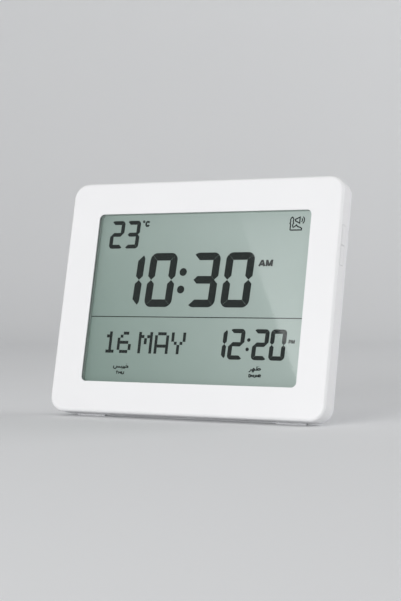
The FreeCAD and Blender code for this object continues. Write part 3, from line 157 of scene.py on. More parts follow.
@dataclass(frozen=True)
class Finish:
    """What every finish shares."""

    name: str

    def material(self) -> bpy.types.Material:
        """The Blender material, built once and shared."""
        known = bpy.data.materials.get(self.name)
        if known is not None:
            return known
        material = bpy.data.materials.new(self.name)
        material.use_nodes = True
        tree = material.node_tree
        tree.nodes.clear()
        coords = add_node(tree, "ShaderNodeTexCoord")
        place = add_node(tree, "ShaderNodeMapping", feeds={"Vector": coords.outputs["Object"]})
        add_node(tree, "ShaderNodeOutputMaterial", feeds={"Surface": self.shade(tree, place)})
        return material

    def shade(self, tree: Tree, place: Node) -> Node:
        """Builds the shader.

        Args:
            tree: the material's nodes.
            place: the Mapping node that carries object coordinates in metres.

        Returns:
            The surface's shader node.
        """
        raise NotImplementedError


@dataclass(frozen=True)
class TwoTone(Finish):
    """An opaque finish in which a pattern mixes two tones.

    Attributes:
        tone: sRGB hex of the ground.
        drift: sRGB hex of the tone that the pattern adds.
    """

    tone: str
    drift: str

    def coat(
        self,
        tree: Tree,
        share: Feed,
        feeds: dict[str, object],
        relief: Feed | None = None,
        relief_mm: float = 0.0,
    ) -> Node:
        """Builds the surface from the two tones and, where it has one, a relief.

        Args:
            tree: the material's nodes.
            share: share of the second tone.
            feeds: what feeds the shader's other sockets.
            relief: pattern of the relief.
            relief_mm: height of the relief.

        Returns:
            The surface's shader node.
        """
        mixed = add_node(tree, "ShaderNodeMix", {"data_type": "RGBA"}, {
            0: share, MIX_A: linear(self.tone), MIX_B: linear(self.drift),
        })
        feeds = {"Base Color": mixed.outputs[MIX_COLOUR], **feeds}
        if relief is not None:
            bump = add_node(tree, "ShaderNodeBump", feeds={
                "Height": relief, "Distance": relief_mm * MM,
            })
            feeds["Normal"] = bump
        return add_node(tree, "ShaderNodeBsdfPrincipled", feeds=feeds)


@dataclass(frozen=True)
class Moulded(TwoTone):
    """Moulded plastic: an even tone with faint flow shading and a spark-eroded grain.

    Attributes:
        roughness: middle roughness.
        spread: how far the grain moves the roughness each way.
        grain_mm: size of one grain.
        grain_depth_mm: height of the grain.
        flow_mm: size of the flow shading.
        ior: refractive index, which sets how much the surface shines.
        grain_span: values of the grain pattern between which the roughness moves.
    """

    roughness: float
    spread: float
    grain_mm: float
    grain_depth_mm: float
    flow_mm: float = 45.0
    ior: float = 1.53
    grain_span: Point = (0.3, 0.7)

    def shade(self, tree: Tree, place: Node) -> Node:
        """Builds the plastic from a flow tone, a roughness drift and a grain bump."""
        flow = add_node(tree, "ShaderNodeTexNoise", feeds={
            "Vector": place, "Scale": 1 / (self.flow_mm * MM), "Detail": 1.0,
        })
        grain = add_node(tree, "ShaderNodeTexNoise", feeds={
            "Vector": place, "Scale": 1 / (self.grain_mm * MM), "Detail": 2.0, "Roughness": 0.6,
        })
        rough = add_node(tree, "ShaderNodeMapRange", feeds={
            "Value": grain, "From Min": self.grain_span[0], "From Max": self.grain_span[1],
            "To Min": self.roughness - self.spread, "To Max": self.roughness + self.spread,
        })
        feeds = {"Roughness": rough, "IOR": self.ior}
        return self.coat(tree, flow, feeds, grain, self.grain_depth_mm)


@dataclass(frozen=True)
class ClearSheet(Finish):
    """Clear sheet: seen through, with a faintly wavy sheen that grows towards grazing angles."""

    tint: str = "#FDFEFE"
    roughness: float = 0.03
    ior: float = 1.49
    wave_mm: float = 60.0
    wave_depth_mm: float = 0.02
    wave_strength: float = 0.3

    def shade(self, tree: Tree, place: Node) -> Node:
        """Builds the sheet from light that passes and a mirror sheen, the same from both sides."""
        wave = add_node(tree, "ShaderNodeTexNoise", feeds={
            "Vector": place, "Scale": 1 / (self.wave_mm * MM), "Detail": 0.0,
        })
        bump = add_node(tree, "ShaderNodeBump", feeds={
            "Height": wave, "Strength": self.wave_strength, "Distance": self.wave_depth_mm * MM,
        })
        side = add_node(tree, "ShaderNodeNewGeometry")
        index = add_node(tree, "ShaderNodeMapRange", feeds={
            "Value": side.outputs["Backfacing"], "To Min": self.ior, "To Max": 1 / self.ior,
        })
        fresnel = add_node(tree, "ShaderNodeFresnel", feeds={"IOR": index})
        through = add_node(tree, "ShaderNodeBsdfTransparent", feeds={"Color": linear(self.tint)})
        sheen = add_node(tree, "ShaderNodeBsdfGlossy", feeds={
            "Roughness": self.roughness, "Normal": bump,
        })
        return add_node(tree, "ShaderNodeMixShader", feeds={0: fresnel, 1: through, 2: sheen})


@dataclass(frozen=True)
class Polariser(TwoTone):
    """Reflective polariser film over the cell, with painted light in its colour.

    The ground is a grey green with a painted glow, deepest at the far lower corner and paler towards
    the right-hand edge, where a backlight strip would light it. It changes over span_mm about the
    middle, along a line that rises by rise_deg.
    """

    # tone and drift are the two ends of the painted glow: deep far from the right-hand edge, pale
    # near it
    tone: str = "#83978E"
    drift: str = "#BDC8C3"
    middle: Spot = (0.0, 4.6, 90.0)
    span_mm: float = 219.0
    rise_deg: float = 34.7
    cloud_mm: float = 30.0
    cloud: float = 0.04
    roughness: float = 0.55
    ior: float = 1.45

    def shade(self, tree: Tree, place: Node) -> Node:
        """Builds the film from a painted glow gradient and a faint cloud."""
        turn = Matrix.Rotation(math.radians(self.rise_deg), 3, "Y")
        half_span = Vector((self.span_mm * MM / 2, 0.0, 0.0))
        place.inputs["Rotation"].default_value = turn.to_euler()
        place.inputs["Location"].default_value = turn @ -CASE.point(*self.middle) + half_span
        parts = add_node(tree, "ShaderNodeSeparateXYZ", feeds={"Vector": place})
        cloud = add_node(tree, "ShaderNodeTexNoise", feeds={
            "Vector": place, "Scale": 1 / (self.cloud_mm * MM), "Detail": 1.0,
        })
        # painted glow: the film's colour pales along this ramp towards its right-hand edge
        painted_glow = add_node(tree, "ShaderNodeMapRange", feeds={
            "Value": parts.outputs["X"], "From Max": self.span_mm * MM,
        })
        drift = add_node(tree, "ShaderNodeMapRange", feeds={
            "Value": cloud, "To Min": -self.cloud, "To Max": self.cloud,
        })
        level = add_node(tree, "ShaderNodeMath", {"operation": "ADD"}, {0: painted_glow, 1: drift})
        return self.coat(tree, level, {"Roughness": self.roughness, "IOR": self.ior})


@dataclass(frozen=True)
class Rubber(TwoTone):
    """Moulded rubber: matt, with a dusty bloom over the higher part of its fine texture."""

    tone: str = "#303133"
    drift: str = "#46474A"
    texture_mm: float = 0.6
    texture_depth_mm: float = 0.03
    bloom_span: Point = (0.45, 0.7)
    roughness: float = 0.8
    ior: float = 1.52

    def shade(self, tree: Tree, place: Node) -> Node:
        """Builds the rubber from a bloom mask and its bump."""
        speck = add_node(tree, "ShaderNodeTexNoise", feeds={
            "Vector": place, "Scale": 1 / (self.texture_mm * MM), "Detail": 3.0,
        })
        mask = add_node(tree, "ShaderNodeMapRange", feeds={
            "Value": speck, "From Min": self.bloom_span[0], "From Max": self.bloom_span[1],
        })
        feeds = {"Roughness": self.roughness, "IOR": self.ior}
        return self.coat(tree, mask, feeds, speck, self.texture_depth_mm)


@dataclass(frozen=True)
class PlatedSteel(TwoTone):
    """Plated steel: a bright grey metal with fine rolling lines that move its roughness."""

    tone: str = "#C4C5C7"
    drift: str = "#A9AAAD"
    roughness: float = 0.3
    line_mm: float = 0.25
    stretch: float = 12.0
    line_span: Point = (0.3, 0.7)
    polish: Point = (-0.08, 0.1)

    def shade(self, tree: Tree, place: Node) -> Node:
        """Builds the metal from stretched lines that move its roughness."""
        place.inputs["Scale"].default_value = (1.0, 1.0, self.stretch)
        lines = add_node(tree, "ShaderNodeTexNoise", feeds={
            "Vector": place, "Scale": 1 / (self.stretch * self.line_mm * MM), "Detail": 3.0,
        })
        rough = add_node(tree, "ShaderNodeMapRange", feeds={
            "Value": lines, "From Min": self.line_span[0], "From Max": self.line_span[1],
            "To Min": self.roughness + self.polish[0], "To Max": self.roughness + self.polish[1],
        })
        return self.coat(tree, lines, {"Metallic": 1.0, "Roughness": rough})


@dataclass(frozen=True)
class CircuitBoard(TwoTone):
    """Glass-fibre board under green solder mask, paler and raised over its copper tracks."""

    tone: str = "#1F5B3A"
    drift: str = "#2F7A4E"
    pitch_mm: float = 2.5
    edge_span: Point = (0.75, 0.8)
    track_mm: float = 0.03
    roughness: float = 0.3

    def shade(self, tree: Tree, place: Node) -> Node:
        """Builds the board from a square cell pattern that stands for tracks."""
        cells = add_node(tree, "ShaderNodeTexVoronoi",
                         {"distance": "MANHATTAN", "feature": "F2"},
                         {"Vector": place, "Scale": 1 / (self.pitch_mm * MM)})
        edge = add_node(tree, "ShaderNodeMapRange", feeds={
            "Value": cells, "From Min": self.edge_span[0], "From Max": self.edge_span[1],
        })
        return self.coat(tree, edge, {"Roughness": self.roughness}, edge, self.track_mm)


@dataclass(frozen=True)
class PaperCone(TwoTone):
    """Pressed black paper with paler fibres and round corrugations about the cone's axis."""

    tone: str = "#1E1F20"
    drift: str = "#2C2D2E"
    centre: Spot = (64.0, 28.8, 47.0)
    ring_mm: float = 3.0
    ring_depth_mm: float = 0.3
    fibre_mm: float = 5 / 6
    roughness: float = 0.9

    def shade(self, tree: Tree, place: Node) -> Node:
        """Builds the paper from rings centred on the loudspeaker and short fibres."""
        place.inputs["Location"].default_value = -CASE.point(*self.centre)
        rings = add_node(tree, "ShaderNodeTexWave",
                         {"wave_type": "RINGS", "rings_direction": "SPHERICAL"},
                         {"Vector": place, "Scale": math.pi / (10 * self.ring_mm * MM)})
        fibre = add_node(tree, "ShaderNodeTexNoise", feeds={
            "Vector": place, "Scale": 1 / (self.fibre_mm * MM),
        })
        feeds = {"Roughness": self.roughness}
        return self.coat(tree, fibre, feeds, rings.outputs["Fac"], self.ring_depth_mm)


@dataclass(frozen=True)
class Sweep(TwoTone):
    """Matt paper sweep that the clock stands on, with the faint cloudiness of its pulp."""

    tone: str = "#EBECED"
    drift: str = "#EDEEEF"
    cloud_mm: float = 400.0

    def shade(self, tree: Tree, place: Node) -> Node:
        """Builds the paper without any shine."""
        pulp = add_node(tree, "ShaderNodeTexNoise", feeds={
            "Vector": place, "Scale": 1 / (self.cloud_mm * MM), "Detail": 2.0,
        })
        mixed = add_node(tree, "ShaderNodeMix", {"data_type": "RGBA"}, {
            0: pulp, MIX_A: linear(self.tone), MIX_B: linear(self.drift),
        })
        return add_node(tree, "ShaderNodeBsdfDiffuse", feeds={"Color": mixed.outputs[MIX_COLOUR]})


# White ABS, fine satin mould: a clean cool white with a soft, wide highlight.
WHITE_ABS = Moulded("abs_white_satin", "#F0F0F1", "#EDEDEE", 0.42, 0.03, 0.6, 0.004)
# White ABS, spark-eroded mould: the same white, duller, with a grain that catches low light.
GRAIN_ABS = Moulded("abs_white_spark_grain", "#EEEEF0", "#E9E9EC", 0.6, 0.06, 0.8, 0.03)
# Light grey ABS buttons: a little darker than the cover, so that they are found by eye.
KEY_ABS = Moulded("abs_grey_button", "#DADBDD", "#D6D7DA", 0.45, 0.03, 0.6, 0.006)
# Grey polycarbonate frame behind the window: a soft green grey rim, partly the frame's own grey and
# partly painted shade for the dark band inside the window's edges.
FRAME_PC_AND_PAINTED_SHADE = Moulded("polycarbonate_grey_matt", "#B8C3BE", "#B1BCB7", 0.6, 0.04, 0.5, 0.01)
# White ABS holder inside the casing: plain, bright and slightly warm.
INNER_ABS = Moulded("abs_natural_holder", "#DCDBD6", "#D6D5CF", 0.5, 0.04, 1.0, 0.01)
# White reflector film: bright and even.
REFLECTOR = Moulded("polyester_white_film", "#E6EAE8", "#E0E5E2", 0.5, 0.02, 2.0, 0.002)
# Black nylon switches: dense, slightly glossy black.
NYLON = Moulded("nylon_black", "#232425", "#1D1E1F", 0.5, 0.05, 0.5, 0.01)
# Black epoxy over the chip and the capacitor's sleeve: glossy black with a soft flow.
EPOXY = Moulded("epoxy_black_cast", "#17181A", "#1D1E20", 0.25, 0.05, 3.0, 0.05)
# Sintered ferrite: dark grey stone-like magnet.
FERRITE = Moulded("ferrite_sintered", "#34353A", "#2B2C30", 0.7, 0.06, 0.7, 0.03)
# Liquid crystal segments: a dense green black, flat, without any shine of its own.
SEGMENT_INK = Moulded("liquid_crystal_segment", "#202725", "#1E2523", 0.7, 0.01, 2.0, 0.001,
                      ior=1.06)
# Lacquered jacket of a dry cell: plain deep blue over steel.
JACKET = Moulded("lacquer_blue_jacket", "#25406E", "#203860", 0.28, 0.03, 4.0, 0.004)
# Clear cast acrylic: nearly invisible, shows only its sheen.
ACRYLIC = ClearSheet("acrylic_clear_sheet")
# Soda-lime glass of the cell, faintly green at its edges.
CELL_GLASS = ClearSheet("glass_soda_lime", "#F0F6F3", 0.02, 1.52)
# Injection moulded acrylic light guide: clear, edge lit.
GUIDE = ClearSheet("acrylic_light_guide", "#F6F9FA", 0.08, 1.49)
# Polariser film: the grey green ground of the display, with a painted glow that pales towards its
# right-hand edge.
POLARISER = Polariser("polariser_reflective_film")
# Soft black rubber of the leg's bead: the one dark touch at the back.
BLACK_RUBBER = Rubber("rubber_black")
# Pale rubber of the two feet: hardly told from the casing above it.
PALE_RUBBER = Rubber("rubber_pale_foot", "#D6D7D9", "#E0E1E3")
# Conductive rubber strip of the display: plain mid grey.
GREY_RUBBER = Rubber("rubber_grey_conductive", "#6E7072", "#808284")
# Zinc plated steel of screws and basket: cool, bright and softly lined.
ZINC_STEEL = PlatedSteel("steel_zinc_plated")
# Nickel plated spring steel of the contacts: warmer and more polished.
NICKEL_STEEL = PlatedSteel("steel_nickel_plated", "#CFCDC6", "#A9AAAD", 0.22, 0.2)
# Green circuit board: the deep green of solder mask with paler tracks.
BOARD = CircuitBoard("board_green_mask")
# Black paper cone: a dull black with shallow rings, behind the grille.
CONE_PAPER = PaperCone("paper_black_cone")
# Pale grey studio paper: a quiet ground that keeps the clock's shadow.
PAPER_SWEEP = Sweep("paper_sweep")


# ---- making pieces


def linked(name: str, data: bpy.types.ID) -> bpy.types.Object:
    """Puts a mesh, a lamp or a camera into the scene as an object."""
    item = bpy.data.objects.new(name, data)
    bpy.context.scene.collection.objects.link(item)
    return item


def settled(bm: BMesh, name: str, smooth_below: float) -> bpy.types.Mesh:
    """Turns a drawn mesh into a smoothly shaded one with sharp edges, and frees the drawing.

    Args:
        bm: the drawn mesh.
        name: name of the mesh.
        smooth_below: faces that meet at less than this angle shade as one, in degrees.

    Returns:
        The mesh.
    """
    limit = math.radians(smooth_below)
    for face in bm.faces:
        face.smooth = True
    for edge in bm.edges:
        edge.smooth = len(edge.link_faces) != 2 or edge.calc_face_angle(0.0) < limit
    mesh = bpy.data.meshes.new(name)
    bm.to_mesh(mesh)
    bm.free()
    return mesh


@dataclass(frozen=True)
class Piece:
    """A new piece of the casing.

    Attributes:
        name: name of the piece.
        finishes: one finish for each material number used by its faces.
        slot: the record's material slot; not used.
        replaces: CAD nodes that it stands for.
    """

    name: str
    finishes: Sequence[Finish]
    slot: Slot
    replaces: Sequence[str] = ()

    def draw(self, bm: BMesh, smooth_below: float = 35.0) -> None:
        """Enters a mesh drawn in casing millimetres, and frees it.

        Args:
            bm: the mesh.
            smooth_below: faces that meet at less than this angle shade as one, in degrees.
        """
        bmesh.ops.transform(bm, matrix=CASE.matrix(), verts=bm.verts)
        self.enter(settled(bm, self.name, smooth_below))

    def enter(self, mesh: bpy.types.Mesh) -> None:
        """Enters a mesh that is already in the row's frame.

        Args:
            mesh: the finished mesh.
        """
        mesh.materials.clear()
        for finish in self.finishes:
            mesh.materials.append(finish.material())
        piece = linked(self.name, mesh)
        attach(piece, CASING_BODY)
        if self.replaces:
            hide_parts(*self.replaces)
        LOG.info("%s: %d faces on %s", self.name, len(mesh.polygons), CASING_BODY)


def skin(
    bm: BMesh, rows: Sequence[Sequence[bmesh.types.BMVert]], closed: bool = True
) -> list[bmesh.types.BMFace]:
    """Joins each row of corners to the next with four-sided faces.

    Args:
        bm: mesh to add to.
        rows: rows with the same number of corners.
        closed: whether the last corner of a row joins its first.

    Returns:
        The faces, row by row.
    """
    faces = []
    for lower, upper in zip(rows, rows[1:]):
        for index in range(len(lower) if closed else len(lower) - 1):
            after = (index + 1) % len(lower)
            faces.append(bm.faces.new((lower[index], upper[index], upper[after], lower[after])))
    return faces


def prism(bm: BMesh, outline: Outline, front: float, back: float) -> None:
    """Adds a closed prism whose outline lies in the casing's across-height plane.

    Args:
        bm: mesh to add to.
        outline: corners in order, counter-clockwise seen from the front.
        front: depth of the front face in millimetres.
        back: depth of the rear face in millimetres.
    """
    near, far = ([bm.verts.new((across, depth, height)) for across, height in outline]
                 for depth in (front, back))
    bm.faces.new(near)
    bm.faces.new(far[::-1])
    skin(bm, (near, far))


def block(left: float, bottom: float, right: float, top: float) -> Outline:
    """The outline of an upright rectangle, from its four edges."""
    return [(left, bottom), (right, bottom), (right, top), (left, top)]


def clip(outline: Outline, across: float, up: float, limit: float) -> Outline:
    """Keeps the part of a convex outline where across * x + up * y <= limit.

    Args:
        outline: corners of a convex shape, in order.
        across: first factor of the dividing line.
        up: second factor of the dividing line.
        limit: value on the dividing line.

    Returns:
        The corners of what is left.
    """
    kept: Outline = []
    for start, end in zip(outline, outline[1:] + outline[:1]):
        at_start = across * start[0] + up * start[1] - limit
        at_end = across * end[0] + up * end[1] - limit
        if at_start <= 0:
            kept.append(start)
        if at_start * at_end < 0:
            share = at_start / (at_start - at_end)
            kept.append((start[0] + share * (end[0] - start[0]),
                         start[1] + share * (end[1] - start[1])))
    return kept


def ribbon(points: Outline, width: float, closed: bool = False) -> list[Outline]:
    """Draws a line of even width as four-sided pieces with mitred joints.

    Args:
        points: the line's corners.
        width: width of the line.
        closed: whether the last corner joins the first.

    Returns:
        One outline for each stretch of the line.
    """
    count = len(points)
    normals: list[Vector] = []
    for index in range(count if closed else count - 1):
        along = Vector(points[(index + 1) % count]) - Vector(points[index])
        normals.append(Vector((-along.y, along.x)).normalized())
    sides: list[tuple[Vector, Vector]] = []
    for index, point in enumerate(points):
        before = normals[index - 1] if closed or index > 0 else normals[0]
        after = normals[index % len(normals)] if closed or index < count - 1 else normals[-1]
        mitre = (before + after).normalized()
        reach = width / 2 / max(LEAST_MITRE, mitre.dot(after))
        sides.append((Vector(point) + mitre * reach, Vector(point) - mitre * reach))
    quads: list[Outline] = []
    for index in range(len(normals)):
        (left, right), (left_on, right_on) = sides[index], sides[(index + 1) % count]
        quads.append([tuple(right), tuple(right_on), tuple(left_on), tuple(left)])
    return quads


def arc(middle: Point, radius: Point, start: float, end: float, steps: int) -> Outline:
    """Points on an arc or an oval, in order.

    Args:
        middle: centre of the arc.
        radius: reach across and up.
        start: first angle in degrees.
        end: last angle in degrees.
        steps: number of stretches.

    Returns:
        The points, both ends included.
    """
    turns = [math.radians(start + (end - start) * index / steps) for index in range(steps + 1)]
    return [(middle[0] + radius[0] * math.cos(turn), middle[1] + radius[1] * math.sin(turn))
            for turn in turns]


def oval(middle: Point, radius: Point, corners: int) -> Outline:
    """The corners of a whole oval, in order."""
    return arc(middle, radius, 0.0, 360 - 360 / corners, corners - 1)


# ---- the display


@dataclass(frozen=True)
class SevenSegment:
    """One style of seven-segment numeral.

    Attributes:
        width: width of a numeral.
        height: height of a numeral.
        upright: stroke of the upright bars.
        level: stroke of the level bars.
        gap: opening between the tips at half height.
        seam: opening along the mitred corners.
        corner: outer corner radius.
        slant: slope of the numerals in degrees.
    """

    width: float
    height: float
    upright: float
    level: float
    gap: float
    seam: float
    corner: float
    slant: float

    LIT = {"0": "abcdef", "1": "bc", "2": "abdeg", "3": "abcdg"}
    CORNER_TURNS = (9, 27, 45, 63, 81)

    def top_bar(self) -> Outline:
        """The upper level bar."""
        half, rise = self.width / 2, self.height / 2
        bar = block(-half, rise - self.level, half, rise)
        limit = half / self.upright - rise / self.level - self.seam / self.level
        for side in (1.0, -1.0):
            bar = clip(bar, side / self.upright, -1 / self.level, limit)
        return self.round_off(self.round_off(bar, 1.0), -1.0)

    def round_off(self, bar: Outline, side: float) -> Outline:
        """Rounds the numeral's outer corner on one side of a bar."""
        middle = self.width / 2 - self.corner, self.height / 2 - self.corner
        for degrees in self.CORNER_TURNS:
            across, up = math.cos(math.radians(degrees)), math.sin(math.radians(degrees))
            limit = self.corner + middle[0] * across + middle[1] * up
            bar = clip(bar, side * across, up, limit)
        return bar

    def side_bar(self) -> Outline:
        """The upper right upright bar."""
        half, rise = self.width / 2, self.height / 2
        bar = block(half - self.upright, 0.0, half, rise)
        limit = rise / self.level - half / self.upright - self.seam / self.level
        bar = clip(bar, -1 / self.upright, 1 / self.level, limit)
        middle = half - self.upright / 2
        for side in (1.0, -1.0):
            bar = clip(bar, side, -1.0, side * middle - self.gap)
        return self.round_off(bar, 1.0)

    def middle_bar(self) -> Outline:
        """The level bar at half height."""
        half, thin = self.width / 2, self.level / 2
        bar = block(-half, -thin, half, thin)
        reach = half - self.upright / 2 - self.gap
        for side in (-1.0, 1.0):
            for rise in (-1.0, 1.0):
                bar = clip(bar, side, rise, reach)
        return bar

    def bar(self, letter: str) -> Outline:
        """One bar by its usual letter, from a at the top round to f, with g in the middle."""
        if letter == "g":
            return self.middle_bar()
        if letter in "ad":
            shape, mirror_across = self.top_bar(), False
        else:
            shape, mirror_across = self.side_bar(), letter in "ef"
        mirror_up = letter in "cde"
        mirrored = [(-x if mirror_across else x, -y if mirror_up else y) for x, y in shape]
        return mirrored[::-1] if mirror_across != mirror_up else mirrored

    def numeral(self, figure: str, middle: Point) -> list[Outline]:
        """Outlines of one numeral.

        Args:
            figure: one of the figures in LIT.
            middle: its centre on the display.

        Returns:
            One outline for each lit bar.
        """
        lean = math.tan(math.radians(self.slant))
        return [[(middle[0] + x + y * lean, middle[1] + y) for x, y in self.bar(letter)]
                for letter in self.LIT[figure]]


@dataclass(frozen=True)
class Caption:
    """A small word or sign on the display, fitted between four edges.

    Attributes:
        text: keys of STROKES, in the order in which they are drawn.
        left: left edge.
        bottom: lower edge.
        right: right edge.
        top: upper edge.
        line: width of the drawn strokes.
    """

    text: str
    left: float
    bottom: float
    right: float
    top: float
    line: float

    # Width and strokes of each letter in a unit box. The last two hold whole Arabic words.
    STROKES = {
        "A": (1.25, [[(0, 0), (0.42, 1), (0.58, 1), (1, 0)], [(0.2, 0.33), (0.8, 0.33)]]),
        "C": (1.0, [[(1, 0.78), (0.75, 1), (0.25, 1), (0, 0.72), (0, 0.28), (0.25, 0),
                     (0.75, 0), (1, 0.22)]]),
        "D": (1.0, [[(0, 0), (0, 1), (0.6, 1), (1, 0.7), (1, 0.3), (0.6, 0), (0, 0)]]),
        "H": (1.0, [[(0, 0), (0, 1)], [(1, 0), (1, 1)], [(0, 0.5), (1, 0.5)]]),
        "M": (1.2, [[(0, 0), (0, 1), (0.1, 1), (0.44, 0.2), (0.56, 0.2), (0.9, 1), (1, 1),
                     (1, 0)]]),
        "P": (0.9, [[(0, 0), (0, 1), (0.7, 1), (1, 0.86), (1, 0.6), (0.7, 0.45), (0, 0.45)]]),
        "R": (1.0, [[(0, 0), (0, 1), (0.7, 1), (1, 0.86), (1, 0.6), (0.7, 0.45), (0, 0.45)],
                    [(0.5, 0.45), (1, 0)]]),
        "T": (1.0, [[(0, 1), (1, 1)], [(0.5, 1), (0.5, 0)]]),
        "U": (1.0, [[(0, 1), (0, 0.25), (0.25, 0), (0.75, 0), (1, 0.25), (1, 1)]]),
        "خ": (1.0, [[(0, 0.6), (0, 0.22), (0.06, 0.02), (0.14, 0.02), (0.2, 0.24), (0.21, 0.58)],
                    [(0.21, 0.3), (0.67, 0.3), (0.69, 0.14), (0.75, 0.14), (0.78, 0.3),
                     (1, 0.3)],
                    [(0.29, 0.3), (0.3, 0.54)], [(0.38, 0.3), (0.39, 0.54)],
                    [(0.54, 0.3), (0.56, 0.58)], [(0.67, 0.3), (0.7, 0.48), (0.77, 0.3)],
                    [(0.52, 0), (0.55, 0)], [(0.6, 0), (0.63, 0)],
                    [(1, 0.3), (0.95, 0.56), (0.8, 0.62)], [(0.85, 1), (0.88, 1)]]),
        "ظ": (1.0, [[(0, 0.03), (0.09, 0.08), (0.17, 0.3), (0.17, 0.5)],
                    [(0.17, 0.34), (0.3, 0.34), (0.38, 0.62), (0.49, 0.5), (0.46, 0.34),
                     (0.3, 0.34), (0.32, 0.04), (0.4, 0.04), (0.47, 0.34)],
                    [(0.46, 0.34), (0.9, 0.34), (1, 0.46), (0.94, 0.62), (0.82, 0.6),
                     (0.66, 0.36)],
                    [(0.66, 0.34), (0.67, 1)], [(0.8, 0.95), (0.84, 0.95)]]),
    }
    SPACE = 0.46

    def outlines(self, slant: float) -> list[Outline]:
        """The word as strokes of even width.

        Args:
            slant: slope of the letters in degrees.

        Returns:
            One outline for each stretch of a stroke.
        """
        lean = math.tan(math.radians(slant))
        half = self.line / 2
        units = sum(self.STROKES[letter][0] for letter in self.text)
        units += self.SPACE * (len(self.text) - 1)
        tall = self.top - self.bottom - self.line
        unit = (self.right - self.left - self.line - tall * lean) / units
        start = self.left + half
        drawn: list[Outline] = []
        for letter in self.text:
            share, strokes = self.STROKES[letter]
            for stroke in strokes:
                points = [(start + x * share * unit + y * tall * lean,
                           self.bottom + half + y * tall) for x, y in stroke]
                drawn += ribbon(points, self.line)
            start += (share + self.SPACE) * unit
        return drawn


@dataclass(frozen=True)
class Reading:
    """One group of seven-segment numerals."""

    figures: str
    style: SevenSegment
    row: float
    columns: tuple[float, ...]


